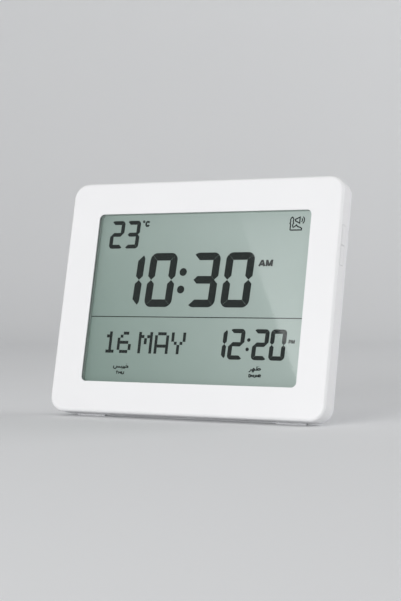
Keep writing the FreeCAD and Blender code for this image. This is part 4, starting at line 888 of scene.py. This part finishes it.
@dataclass
class DisplayGraphics:
    """Everything that the liquid crystal shows, in the casing's millimetres.

    The segments' front face stands just ahead of the film, and their back is let into it.
    """

    front: float = 4.56
    back: float = 4.61
    readings: tuple[Reading, ...] = (
        Reading("1030", SevenSegment(23.6, 42.45, 6.05, 5.95, 0.04, 0.06, 5.9, 2.65),
                104.4, (-59.1, -30.8, 5.8, 34.2)),
        Reading("1220", SevenSegment(12.8, 23.2, 3.35, 3.25, 0.02, 0.04, 3.3, 2.05),
                55.45, (23.75, 38.25, 57.8, 71.75)),
        Reading("23", SevenSegment(12.3, 22.25, 3.2, 3.15, 0.02, 0.04, 3.0, 1.5),
                140.7, (-74.2, -60.3)),
    )
    # Middle and radius of each round point.
    colons: tuple[tuple[Point, float], ...] = (((-12.4, 110.55), 3.1), ((-13.05, 96.9), 3.1),
                                               ((48.15, 58.85), 1.4), ((47.5, 51.8), 1.4))
    # Left, lower, right and upper edge of the dividing line.
    divider: tuple[float, float, float, float] = (-88.9, 75.05, 90.9, 75.75)
    dot_pitch: Point = (2.42, 2.38)
    dot_side: float = 2.37
    date_bottom: float = 46.95
    caption_slant: float = 3.0
    captions: tuple[Caption, ...] = (
        Caption("AM", 49.9, 113.9, 61.8, 119.6, 1.55),
        Caption("PM", 80.0, 56.3, 85.1, 59.5, 0.82),
        Caption("C", -50.1, 146.7, -45.7, 151.5, 1.52),
        Caption("THU", -61.9, 30.4, -54.1, 33.1, 0.82),
        Caption("DHUHR", 50.5, 30.8, 60.7, 33.5, 0.85),
        Caption("خ", -64.5, 34.3, -50.5, 38.9, 0.85),
        Caption("ظ", 50.1, 34.6, 60.4, 39.8, 0.85),
    )
    # Middle, radii and line width of the degree ring.
    degree: tuple[Point, Point, float] = ((-51.3, 150.9), (0.62, 0.66), 0.85)
    sign_line: float = 0.95
    # Middle of the two sound waves, their radii, height to width, angles, steps and line width.
    sound: Point = (80.7, 149.5)
    sound_reach: Point = (1.6, 3.2)
    sound_ratio: float = 1.05
    sound_span: Point = (-50.0, 50.0)
    sound_steps: int = 6
    sound_line: float = 0.855

    COLON_CORNERS = 24
    DEGREE_CORNERS = 12
    LETTERS = {
        "1": (".#.", "##.", ".#.", ".#.", ".#.", ".#.", "###"),
        "6": ("..##.", ".#...", "#....", "####.", "#...#", "#...#", ".###."),
        "M": ("#...#", "##.##", "#.#.#", "#.#.#", "#...#", "#...#", "#...#"),
        "A": (".###.", "#...#", "#...#", "#...#", "#####", "#...#", "#...#"),
        "Y": ("#...#", "#...#", "#...#", ".#.#.", "..#..", "..#..", "..#.."),
    }
    DATE = (("1", -72.9), ("6", -63.15), ("M", -44.7), ("A", -30.6), ("Y", -16.35))
    TOWER = [(73.0, 142.0), (73.1, 146.4), (72.5, 147.2), (73.0, 148.3), (72.8, 150.2),
             (73.4, 151.4), (74.1, 151.9), (74.8, 151.4), (75.3, 150.2), (75.0, 148.3),
             (75.5, 147.2), (74.9, 146.4), (74.8, 144.6)]
    DOME = [(73.0, 142.0), (82.1, 142.0), (82.2, 143.2), (80.9, 144.0), (78.9, 144.6),
            (77.8, 145.9), (76.7, 144.8), (74.8, 143.9)]
    HORN = [(76.7, 149.1), (80.3, 147.2), (80.3, 151.8), (76.7, 150.2)]

    def build(self) -> None:
        """Makes the numerals, the divider, the captions, the sign and the dot matrix."""
        self.build_numerals()
        self.build_captions()
        self.build_sign()
        self.build_dots()

    def flat(self, name: str, outlines: Sequence[Outline]) -> None:
        """Enters a set of outlines as one piece on the film."""
        bm = bmesh.new()
        for outline in outlines:
            prism(bm, outline, self.front, self.back)
        Piece(name, [SEGMENT_INK], Slot.FILM).draw(bm, smooth_below=5.0)

    def build_numerals(self) -> None:
        """The three groups of numerals, their colons and the dividing line."""
        outlines: list[Outline] = []
        for reading in self.readings:
            for figure, column in zip(reading.figures, reading.columns):
                outlines += reading.style.numeral(figure, (column, reading.row))
        for middle, radius in self.colons:
            outlines.append(oval(middle, (radius, radius), self.COLON_CORNERS))
        outlines.append(block(*self.divider))
        self.flat("display_numerals", outlines)

    def build_captions(self) -> None:
        """The small words and the degree ring."""
        middle, radii, line = self.degree
        outlines = ribbon(oval(middle, radii, self.DEGREE_CORNERS), line, closed=True)
        for caption in self.captions:
            outlines += caption.outlines(self.caption_slant)
        self.flat("display_captions", outlines)

    def build_sign(self) -> None:
        """A plain sign for the call: a tower, a dome and a sounding horn, in thin lines."""
        outlines = ribbon(self.TOWER, self.sign_line) + ribbon(self.DOME, self.sign_line)
        outlines += ribbon(self.HORN, self.sign_line, closed=True)
        for reach in self.sound_reach:
            radii = reach, reach * self.sound_ratio
            wave = arc(self.sound, radii, *self.sound_span, self.sound_steps)
            outlines += ribbon(wave, self.sound_line)
        self.flat("display_call_sign", outlines)

    def build_dots(self) -> None:
        """The date in a five by seven dot matrix, one instance for each lit dot."""
        wide, tall = self.dot_pitch
        spots = []
        for letter, start in self.DATE:
            rows = self.LETTERS[letter]
            for row, line in enumerate(rows):
                for column, mark in enumerate(line):
                    if mark == "#":
                        spots.append(CASE.point(start + (column + 0.5) * wide, self.front,
                                                self.date_bottom + (len(rows) - row - 0.5) * tall))
        date = Piece("display_date", [SEGMENT_INK], Slot.FILM)
        date.enter(DotTree(date.name, {
            "Side": self.dot_side * MM, "Thickness": (self.back - self.front) * MM,
            "Lean": CASE.turn(), "Finish": SEGMENT_INK.material(),
        }).mesh(spots))


# ---- geometry trees


@dataclass(frozen=True)
class RepeatTree:
    """A geometry tree that sets one shape on every point it is given.

    Attributes:
        title: name of the tree and of the mesh that it makes.
        inputs: value of each named input after the points.
    """

    title: str
    inputs: dict[str, object]

    SOCKETS = {float: "NodeSocketFloat", int: "NodeSocketInt", Euler: "NodeSocketRotation",
               bpy.types.Material: "NodeSocketMaterial", bpy.types.Object: "NodeSocketObject"}

    def mesh(self, spots: Sequence[Vector], facings: Sequence[Vector] = ()) -> bpy.types.Mesh:
        """Runs the tree over a set of points.

        Args:
            spots: points in the row's frame.
            facings: a turn for each point, kept on the points as "facing".

        Returns:
            The plain mesh, with its instances made real.
        """
        points = bpy.data.meshes.new(self.title + "_points")
        points.from_pydata([tuple(spot) for spot in spots], [], [])
        if facings:
            layer = points.attributes.new("facing", "FLOAT_VECTOR", "POINT")
            for item, facing in zip(layer.data, facings):
                item.vector = facing
        holder = linked(self.title + "_holder", points)
        modifier = holder.modifiers.new("repeat", "NODES")
        modifier.node_group = self.tree()
        for item in modifier.node_group.interface.items_tree:
            if item.in_out == "INPUT" and item.name in self.inputs:
                modifier[item.identifier] = self.inputs[item.name]
        bpy.context.view_layer.update()
        seen = holder.evaluated_get(bpy.context.evaluated_depsgraph_get())
        mesh = bpy.data.meshes.new_from_object(seen)
        mesh.name = self.title
        bpy.data.objects.remove(holder)
        bpy.data.meshes.remove(points)
        return mesh

    def tree(self) -> Tree:
        """Builds the tree: shape, instances, real geometry, finish."""
        tree = bpy.data.node_groups.new(self.title, "GeometryNodeTree")
        tree.interface.new_socket("Points", in_out="INPUT", socket_type="NodeSocketGeometry")
        for name, value in self.inputs.items():
            tree.interface.new_socket(name, in_out="INPUT", socket_type=self.SOCKETS[type(value)])
        tree.interface.new_socket("Geometry", in_out="OUTPUT", socket_type="NodeSocketGeometry")
        given = add_node(tree, "NodeGroupInput")
        shape, turn = self.shape(tree, given)
        copies = add_node(tree, "GeometryNodeInstanceOnPoints", feeds={
            "Points": given.outputs["Points"], "Instance": shape, "Rotation": turn,
        })
        placed = self.settle(tree, given, copies)
        real = add_node(tree, "GeometryNodeRealizeInstances", feeds={"Geometry": placed})
        dressed = add_node(tree, "GeometryNodeSetMaterial", feeds={
            "Geometry": real, "Material": given.outputs["Finish"],
        })
        add_node(tree, "NodeGroupOutput", feeds={"Geometry": dressed})
        return tree

    def shape(self, tree: Tree, given: Node) -> tuple[Feed, Feed]:
        """The repeated shape and its turn."""
        raise NotImplementedError

    def settle(self, tree: Tree, given: Node, copies: Node) -> Node:
        """What is done to the copies before they are made real; nothing by default."""
        return copies


class DotTree(RepeatTree):
    """Sets a thin square dot on every point."""

    def shape(self, tree: Tree, given: Node) -> tuple[Feed, Feed]:
        """A flat block as wide and high as the dot, behind its point."""
        side, thick = given.outputs["Side"], given.outputs["Thickness"]
        size = add_node(tree, "ShaderNodeCombineXYZ", feeds={"X": side, "Y": thick, "Z": side})
        dot = add_node(tree, "GeometryNodeMeshCube", feeds={"Size": size})
        half = add_node(tree, "ShaderNodeMath", {"operation": "MULTIPLY"}, {0: thick, 1: 0.5})
        step = add_node(tree, "ShaderNodeCombineXYZ", feeds={"Y": half})
        moved = add_node(tree, "GeometryNodeTransform", feeds={
            "Geometry": dot, "Translation": step,
        })
        return moved, given.outputs["Lean"]


class SpringTree(RepeatTree):
    """Sets a conical coil of wire on every point."""

    PATH_STEPS = 28
    WIRE_STEPS = 10

    def shape(self, tree: Tree, given: Node) -> tuple[Feed, Feed]:
        """A coil swept along a narrowing spiral, turned by each point's facing."""
        path = add_node(tree, "GeometryNodeCurveSpiral", feeds={
            "Resolution": self.PATH_STEPS, "Rotations": given.outputs["Turns"],
            "Start Radius": given.outputs["Base radius"],
            "End Radius": given.outputs["Tip radius"], "Height": given.outputs["Length"],
        })
        wire = add_node(tree, "GeometryNodeCurvePrimitiveCircle", feeds={
            "Resolution": self.WIRE_STEPS, "Radius": given.outputs["Wire radius"],
        })
        coil = add_node(tree, "GeometryNodeCurveToMesh", feeds={
            "Curve": path, "Profile Curve": wire, "Fill Caps": True,
        })
        smooth = add_node(tree, "GeometryNodeSetShadeSmooth", feeds={0: coil})
        facing = add_node(tree, "GeometryNodeInputNamedAttribute",
                          {"data_type": "FLOAT_VECTOR"}, {"Name": "facing"})
        turn = add_node(tree, "FunctionNodeEulerToRotation", feeds={"Euler": facing})
        return smooth, turn


class ScrewTree(RepeatTree):
    """Sets a given screw on every point, each turned at random about its own axis."""

    def shape(self, tree: Tree, given: Node) -> tuple[Feed, Feed]:
        """The screw as it was drawn, leaning with the casing."""
        info = add_node(tree, "GeometryNodeObjectInfo", feeds={
            "Object": given.outputs["Screw"], "As Instance": True,
        })
        return info.outputs["Geometry"], given.outputs["Lean"]

    def settle(self, tree: Tree, given: Node, copies: Node) -> Node:
        """Turns each screw to where its thread happened to stop."""
        chance = add_node(tree, "FunctionNodeRandomValue", {"data_type": "FLOAT"}, {
            2: 0.0, 3: math.tau, "Seed": given.outputs["Seed"],
        })
        angle = add_node(tree, "ShaderNodeCombineXYZ", feeds={"Y": chance.outputs[1]})
        return add_node(tree, "GeometryNodeRotateInstances", feeds={
            "Instances": copies, "Rotation": angle, "Local Space": True,
        })


# ---- hardware


@dataclass
class CaseScrews:
    """Pan head screws with a cross recess that close the casing from behind.

    Sizes are in millimetres, and crown_step is an angle in radians.
    """

    columns: tuple[float, ...] = (-103.0, 103.0)
    rows: tuple[float, ...] = (12.0, 84.0, 170.0)
    seat_depth: float = 16.6
    shank_radius: float = 1.25
    shank_length: float = 11.6
    tip_radius: float = 0.5
    head_radius: float = 2.7
    head_edge: float = 0.9
    head_height: float = 1.8
    crown_step: float = 0.2617
    crown_rings: int = 4
    recess_reach: float = 1.55
    recess_width: float = 0.62
    recess_depth: float = 1.0
    recess_taper: float = 0.8
    recess_rim: float = 0.12
    samples: int = 48
    seed: int = 7

    # Keeps the directions along an axis from a division by zero.
    LEAST_SINE = 1e-6

    def cross(self, turn: float) -> float:
        """How far the recess reaches from the axis in one direction."""
        along, beside = abs(math.cos(turn)), abs(math.sin(turn))
        half = self.recess_width / 2
        return max(min(self.recess_reach / max(first, self.LEAST_SINE),
                       half / max(second, self.LEAST_SINE))
                   for first, second in ((along, beside), (beside, along)))

    def profile(self) -> list[Spot]:
        """Plain reach, share of the cross added to it and height of each ring, tip to recess."""
        dome = self.head_height - self.head_edge
        turns = [self.crown_step * step for step in range(self.crown_rings)]
        return [
            (self.tip_radius, 0.0, -self.shank_length),
            (self.shank_radius, 0.0, -self.shank_length + self.shank_radius),
            (self.shank_radius, 0.0, 0.0),
            (self.head_radius, 0.0, 0.0),
            *((self.head_radius * math.cos(turn), 0.0, self.head_edge + dome * math.sin(turn))
              for turn in turns),
            (self.recess_reach + self.recess_rim, 0.0, self.head_height),
            (0.0, 1.0, self.head_height),
            (0.0, self.recess_taper, self.head_height - self.recess_depth),
        ]

    def screw(self) -> bpy.types.Object:
        """One screw about the depth axis, head towards the back, in metres."""
        bm = bmesh.new()
        rows = []
        for plain, share, height in self.profile():
            row = []
            for index in range(self.samples):
                turn = math.tau * index / self.samples
                reach = plain + share * self.cross(turn)
                spot = Vector((reach * math.cos(turn), height, reach * math.sin(turn)))
                row.append(bm.verts.new(spot * MM))
            rows.append(row)
        skin(bm, rows)
        bm.faces.new(rows[0])
        bm.faces.new(rows[-1][::-1])
        bmesh.ops.recalc_face_normals(bm, faces=bm.faces)
        return linked("screw", settled(bm, "screw", smooth_below=32.0))

    def build(self) -> None:
        """Sets the six screws in their seats."""
        pattern = self.screw()
        spots = [CASE.point(column, self.seat_depth, row)
                 for row in self.rows for column in self.columns]
        screws = Piece("case_screws_detailed", [ZINC_STEEL], Slot.STEEL, ["case_screws"])
        mesh = ScrewTree(screws.name, {
            "Screw": pattern, "Lean": CASE.turn(), "Seed": self.seed,
            "Finish": ZINC_STEEL.material(),
        }).mesh(spots)
        bpy.data.objects.remove(pattern)
        screws.enter(mesh)


@dataclass
class BatteryBay:
    """Three dry cells between their contact plates and springs, in casing millimetres."""

    left: float = -93.0
    right: float = -35.5
    middle_depth: float = 21.0
    rows: tuple[float, ...] = (32.0, 47.0, 62.0)
    cell_radius: float = 7.1
    cell_length: float = 49.5
    button_radius: float = 2.6
    button_height: float = 1.0
    axis_gap: float = 0.15
    plate_thick: float = 0.4
    plate_side: float = 11.0
    floor: float = 13.9
    spring_length: float = 6.2
    spring_turns: float = 4.0
    spring_base: float = 3.7
    spring_tip: float = 2.1
    wire_radius: float = 0.35
    samples: int = 40

    def faces_right(self, number: int) -> bool:
        """Every other cell lies the other way round."""
        return number % 2 == 0

    def build(self) -> None:
        """Makes the cells, the plates and the springs."""
        for number, row in enumerate(self.rows):
            self.build_cell(number, row)
        self.build_plates()
        self.build_springs()

    def profile(self) -> list[tuple[float, float, int]]:
        """Place along the cell, reach and finish of each stretch: jacket 0, steel 1, ring 2."""
        radius, length = self.cell_radius, self.cell_length
        button, top = self.button_radius, self.cell_length + self.button_height
        return [
            (0.0, self.axis_gap, 1), (0.0, radius - 2.2, 1), (0.25, radius - 1.9, 1),
            (0.0, radius - 1.5, 1), (0.0, radius - 0.7, 0), (0.35, radius - 0.1, 0),
            (0.8, radius, 0), (length - 0.8, radius, 0), (length - 0.3, radius - 0.15, 0),
            (length, radius - 0.7, 2), (length - 0.1, radius - 1.4, 2),
            (length - 0.1, button + 1.0, 1), (length, button, 1), (top - 0.2, button, 1),
            (top, button - 0.3, 1), (top, self.axis_gap, 1),
        ]

    def build_cell(self, number: int, row: float) -> None:
        """Turns one cell: jacket, insulating ring, steel ends and button."""
        bm = bmesh.new()
        margin = self.plate_thick + self.spring_length
        start, way = self.left + margin, 1.0
        if not self.faces_right(number):
            start, way = self.right - margin, -1.0
        profile = self.profile()
        turns = [math.tau * index / self.samples for index in range(self.samples)]
        rows = [[bm.verts.new((start + way * along, self.middle_depth + reach * math.cos(turn),
                               row + reach * math.sin(turn))) for turn in turns]
                for along, reach, _ in profile]
        for index, face in enumerate(skin(bm, rows)):
            face.material_index = profile[1 + index // self.samples][2]
        for end in (rows[0], rows[-1]):
            bm.faces.new(end).material_index = 1
        bmesh.ops.recalc_face_normals(bm, faces=bm.faces)
        Piece(f"dry_cell_{number + 1}", [JACKET, NICKEL_STEEL, NYLON], Slot.JACKET,
              [f"battery_cell_{number + 1}"]).draw(bm)

    def build_plates(self) -> None:
        """Six flat contact plates, one at each end of each cell."""
        bm = bmesh.new()
        half = self.plate_side / 2
        for row in self.rows:
            for left in (self.left, self.right - self.plate_thick):
                outline = block(left, row - half, left + self.plate_thick, row + half)
                prism(bm, outline, self.floor, self.floor + self.plate_side)
        Piece("contact_plates", [NICKEL_STEEL], Slot.STEEL, ["battery_contacts"]).draw(bm)

    def build_springs(self) -> None:
        """A conical coil at the flat end of each cell."""
        spots = []
        facings = []
        for number, row in enumerate(self.rows):
            lift = self.plate_thick + self.wire_radius
            across, quarter = self.left + lift, 90
            if not self.faces_right(number):
                across, quarter = self.right - lift, -90
            spots.append(CASE.point(across, self.middle_depth, row))
            facings.append(Vector((0.0, math.radians(quarter), 0.0)))
        springs = Piece("contact_springs", [NICKEL_STEEL], Slot.STEEL)
        springs.enter(SpringTree(springs.name, {
            "Turns": self.spring_turns, "Base radius": self.spring_base * MM,
            "Tip radius": self.spring_tip * MM, "Wire radius": self.wire_radius * MM,
            "Length": (self.spring_length - 2 * self.wire_radius) * MM,
            "Finish": NICKEL_STEEL.material(),
        }).mesh(spots, facings))


# ---- dressing the CAD pieces


@dataclass
class Dressing:
    """Finishes of the pieces that keep their CAD shape."""

    # What the names of the nodes in each finish start with.
    TABLE = {
        WHITE_ABS: ("front_bezel", "side_button"),
        GRAIN_ABS: ("rear_cover", "battery_door", "stand_leg", "speaker_grille"),
        KEY_ABS: ("rear_button",),
        ACRYLIC: ("window_lens",),
        FRAME_PC_AND_PAINTED_SHADE: ("display_frame",),
        POLARISER: ("lcd_front_polariser",),
        CELL_GLASS: ("lcd_front_glass", "lcd_rear_glass"),
        REFLECTOR: ("lcd_reflector",),
        GUIDE: ("light_guide",),
        INNER_ABS: ("display_holder",),
        GREY_RUBBER: ("lcd_contact_strip",),
        BOARD: ("backlight_strip", "main_board", "side_switch_board"),
        EPOXY: ("controller_chip", "supply_capacitor"),
        NICKEL_STEEL: ("clock_crystal",),
        NYLON: ("rear_switch", "side_switch_lower", "side_switch_upper"),
        BLACK_RUBBER: ("leg_bead",),
        PALE_RUBBER: ("rubber_pad",),
        ZINC_STEEL: ("speaker_basket",),
        CONE_PAPER: ("speaker_cone",),
        FERRITE: ("speaker_magnet",),
    }
    REPLACED = ("case_screws", "battery_cell", "battery_contacts")

    def apply(self) -> None:
        """Gives every kept node its finish."""
        for name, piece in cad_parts.items():
            if name.startswith(self.REPLACED):
                continue
            finish = next(known for known, starts in self.TABLE.items() if name.startswith(starts))
            piece.data.materials.clear()
            piece.data.materials.append(finish.material())
            LOG.info("%s: %s", name, finish.name)


# ---- studio


@dataclass(frozen=True)
class SoftBox:
    """A soft rectangular lamp. Its height lies along upward, in metres, and its power is in watts."""

    name: str
    place: Spot
    size: Point
    power: float
    aim: Spot = (0.0, 0.0, 0.09)
    upward: Spot = (0.0, 0.0, 1.0)
    spread_deg: float = 180.0

    def build(self) -> None:
        """Makes the lamp."""
        lamp = bpy.data.lights.new(self.name, "AREA")
        lamp.shape = "RECTANGLE"
        lamp.size, lamp.size_y = self.size
        lamp.energy = self.power
        lamp.spread = math.radians(self.spread_deg)
        holder = linked(self.name, lamp)
        holder.location = self.place
        rear = (Vector(self.place) - Vector(self.aim)).normalized()
        across = Vector(self.upward).cross(rear).normalized()
        turn = Matrix((across, rear.cross(across), rear)).transposed()
        holder.rotation_euler = turn.to_euler()
        LOG.info("%s: %.2f W", self.name, self.power)


@dataclass
class Studio:
    """Paper sweep, even room light and soft lamps."""

    room_level: float = 0.3
    room_colour: str = "#FCFCFD"
    sweep_turn: float = 27.0
    sweep_near: float = -2.6
    sweep_far: float = 1.4
    sweep_radius: float = 0.8
    sweep_steps: int = 24
    sweep_height: float = 3.2
    sweep_half_width: float = 3.6
    lamps: tuple[SoftBox, ...] = (
        SoftBox("key_softbox", (-0.22, -2.4, 0.5), (1.2, 0.9), 31.4),
        SoftBox("left_softbox", (-2.0, -1.3, 0.7), (1.2, 1.2), 4.5),
        SoftBox("overhead_softbox", (0.2, -0.6, 2.2), (2.0, 1.6), 6.0, upward=(0.0, 1.0, 0.0)),
        SoftBox("side_softbox", (2.1, 1.2, 0.9), (2.4, 1.7), 29.2),
        SoftBox("window_card", (-0.5466, -1.3854, 0.7673), (0.16, 0.4), 0.0126,
                (0.1955, -0.0297, 0.3533), (-0.3453, 0.4419, 0.828), 22.6),
    )

    def build(self) -> None:
        """Makes the sweep, the room light and the lamps."""
        self.build_sweep()
        world = bpy.data.worlds.new("studio_room")
        world.use_nodes = True
        tree = world.node_tree
        tree.nodes.clear()
        light = add_node(tree, "ShaderNodeBackground", feeds={
            "Color": linear(self.room_colour), "Strength": self.room_level,
        })
        add_node(tree, "ShaderNodeOutputWorld", feeds={"Surface": light})
        bpy.context.scene.world = world
        for lamp in self.lamps:
            lamp.build()

    def build_sweep(self) -> None:
        """Bends a sheet of paper from the floor up into the backdrop."""
        profile = [(self.sweep_near, 0.0)]
        for step in range(self.sweep_steps + 1):
            bend = math.radians(90 * step / self.sweep_steps)
            profile.append((self.sweep_far + self.sweep_radius * math.sin(bend),
                            self.sweep_radius * (1 - math.cos(bend))))
        profile.append((self.sweep_far + self.sweep_radius, self.sweep_height))
        turn = Matrix.Rotation(math.radians(self.sweep_turn), 4, "Z")
        bm = bmesh.new()
        rows = [[bm.verts.new(turn @ Vector((side, along, height)))
                 for side in (self.sweep_half_width, -self.sweep_half_width)]
                for along, height in profile]
        skin(bm, rows, closed=False)
        mesh = settled(bm, "paper_sweep", smooth_below=180.0)
        mesh.materials.append(PAPER_SWEEP.material())
        linked("paper_sweep", mesh)
        LOG.info("paper_sweep: %d faces", len(mesh.polygons))


@dataclass(frozen=True)
class ViewCamera:
    """The camera, in front of the clock and to its right.

    Its place and its nearest distance are in metres, its turn in degrees, its lens and the long
    side of its sensor in millimetres.
    """

    place: Spot = (0.51554, -1.01621, 0.10176)
    turn: Spot = (89.3659, 0.0401, 26.9360)
    lens: float = 89.67
    sensor: float = 36.0
    nearest: float = 0.01

    def build(self) -> None:
        """Makes the camera and the plain view settings."""
        scene = bpy.context.scene
        data = bpy.data.cameras.new("view")
        data.lens = self.lens
        data.sensor_width = self.sensor
        data.clip_start = self.nearest
        camera = linked("view", data)
        camera.location = self.place
        camera.rotation_euler = tuple(math.radians(angle) for angle in self.turn)
        scene.camera = camera
        scene.view_settings.view_transform = "Standard"


def main() -> None:
    """Builds everything in order and reports each piece."""
    logging.basicConfig(level=logging.INFO, format="%(message)s")
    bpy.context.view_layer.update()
    ViewCamera().build()
    Studio().build()
    Dressing().apply()
    DisplayGraphics().build()
    CaseScrews().build()
    BatteryBay().build()


if __name__ == "__main__":
    main()
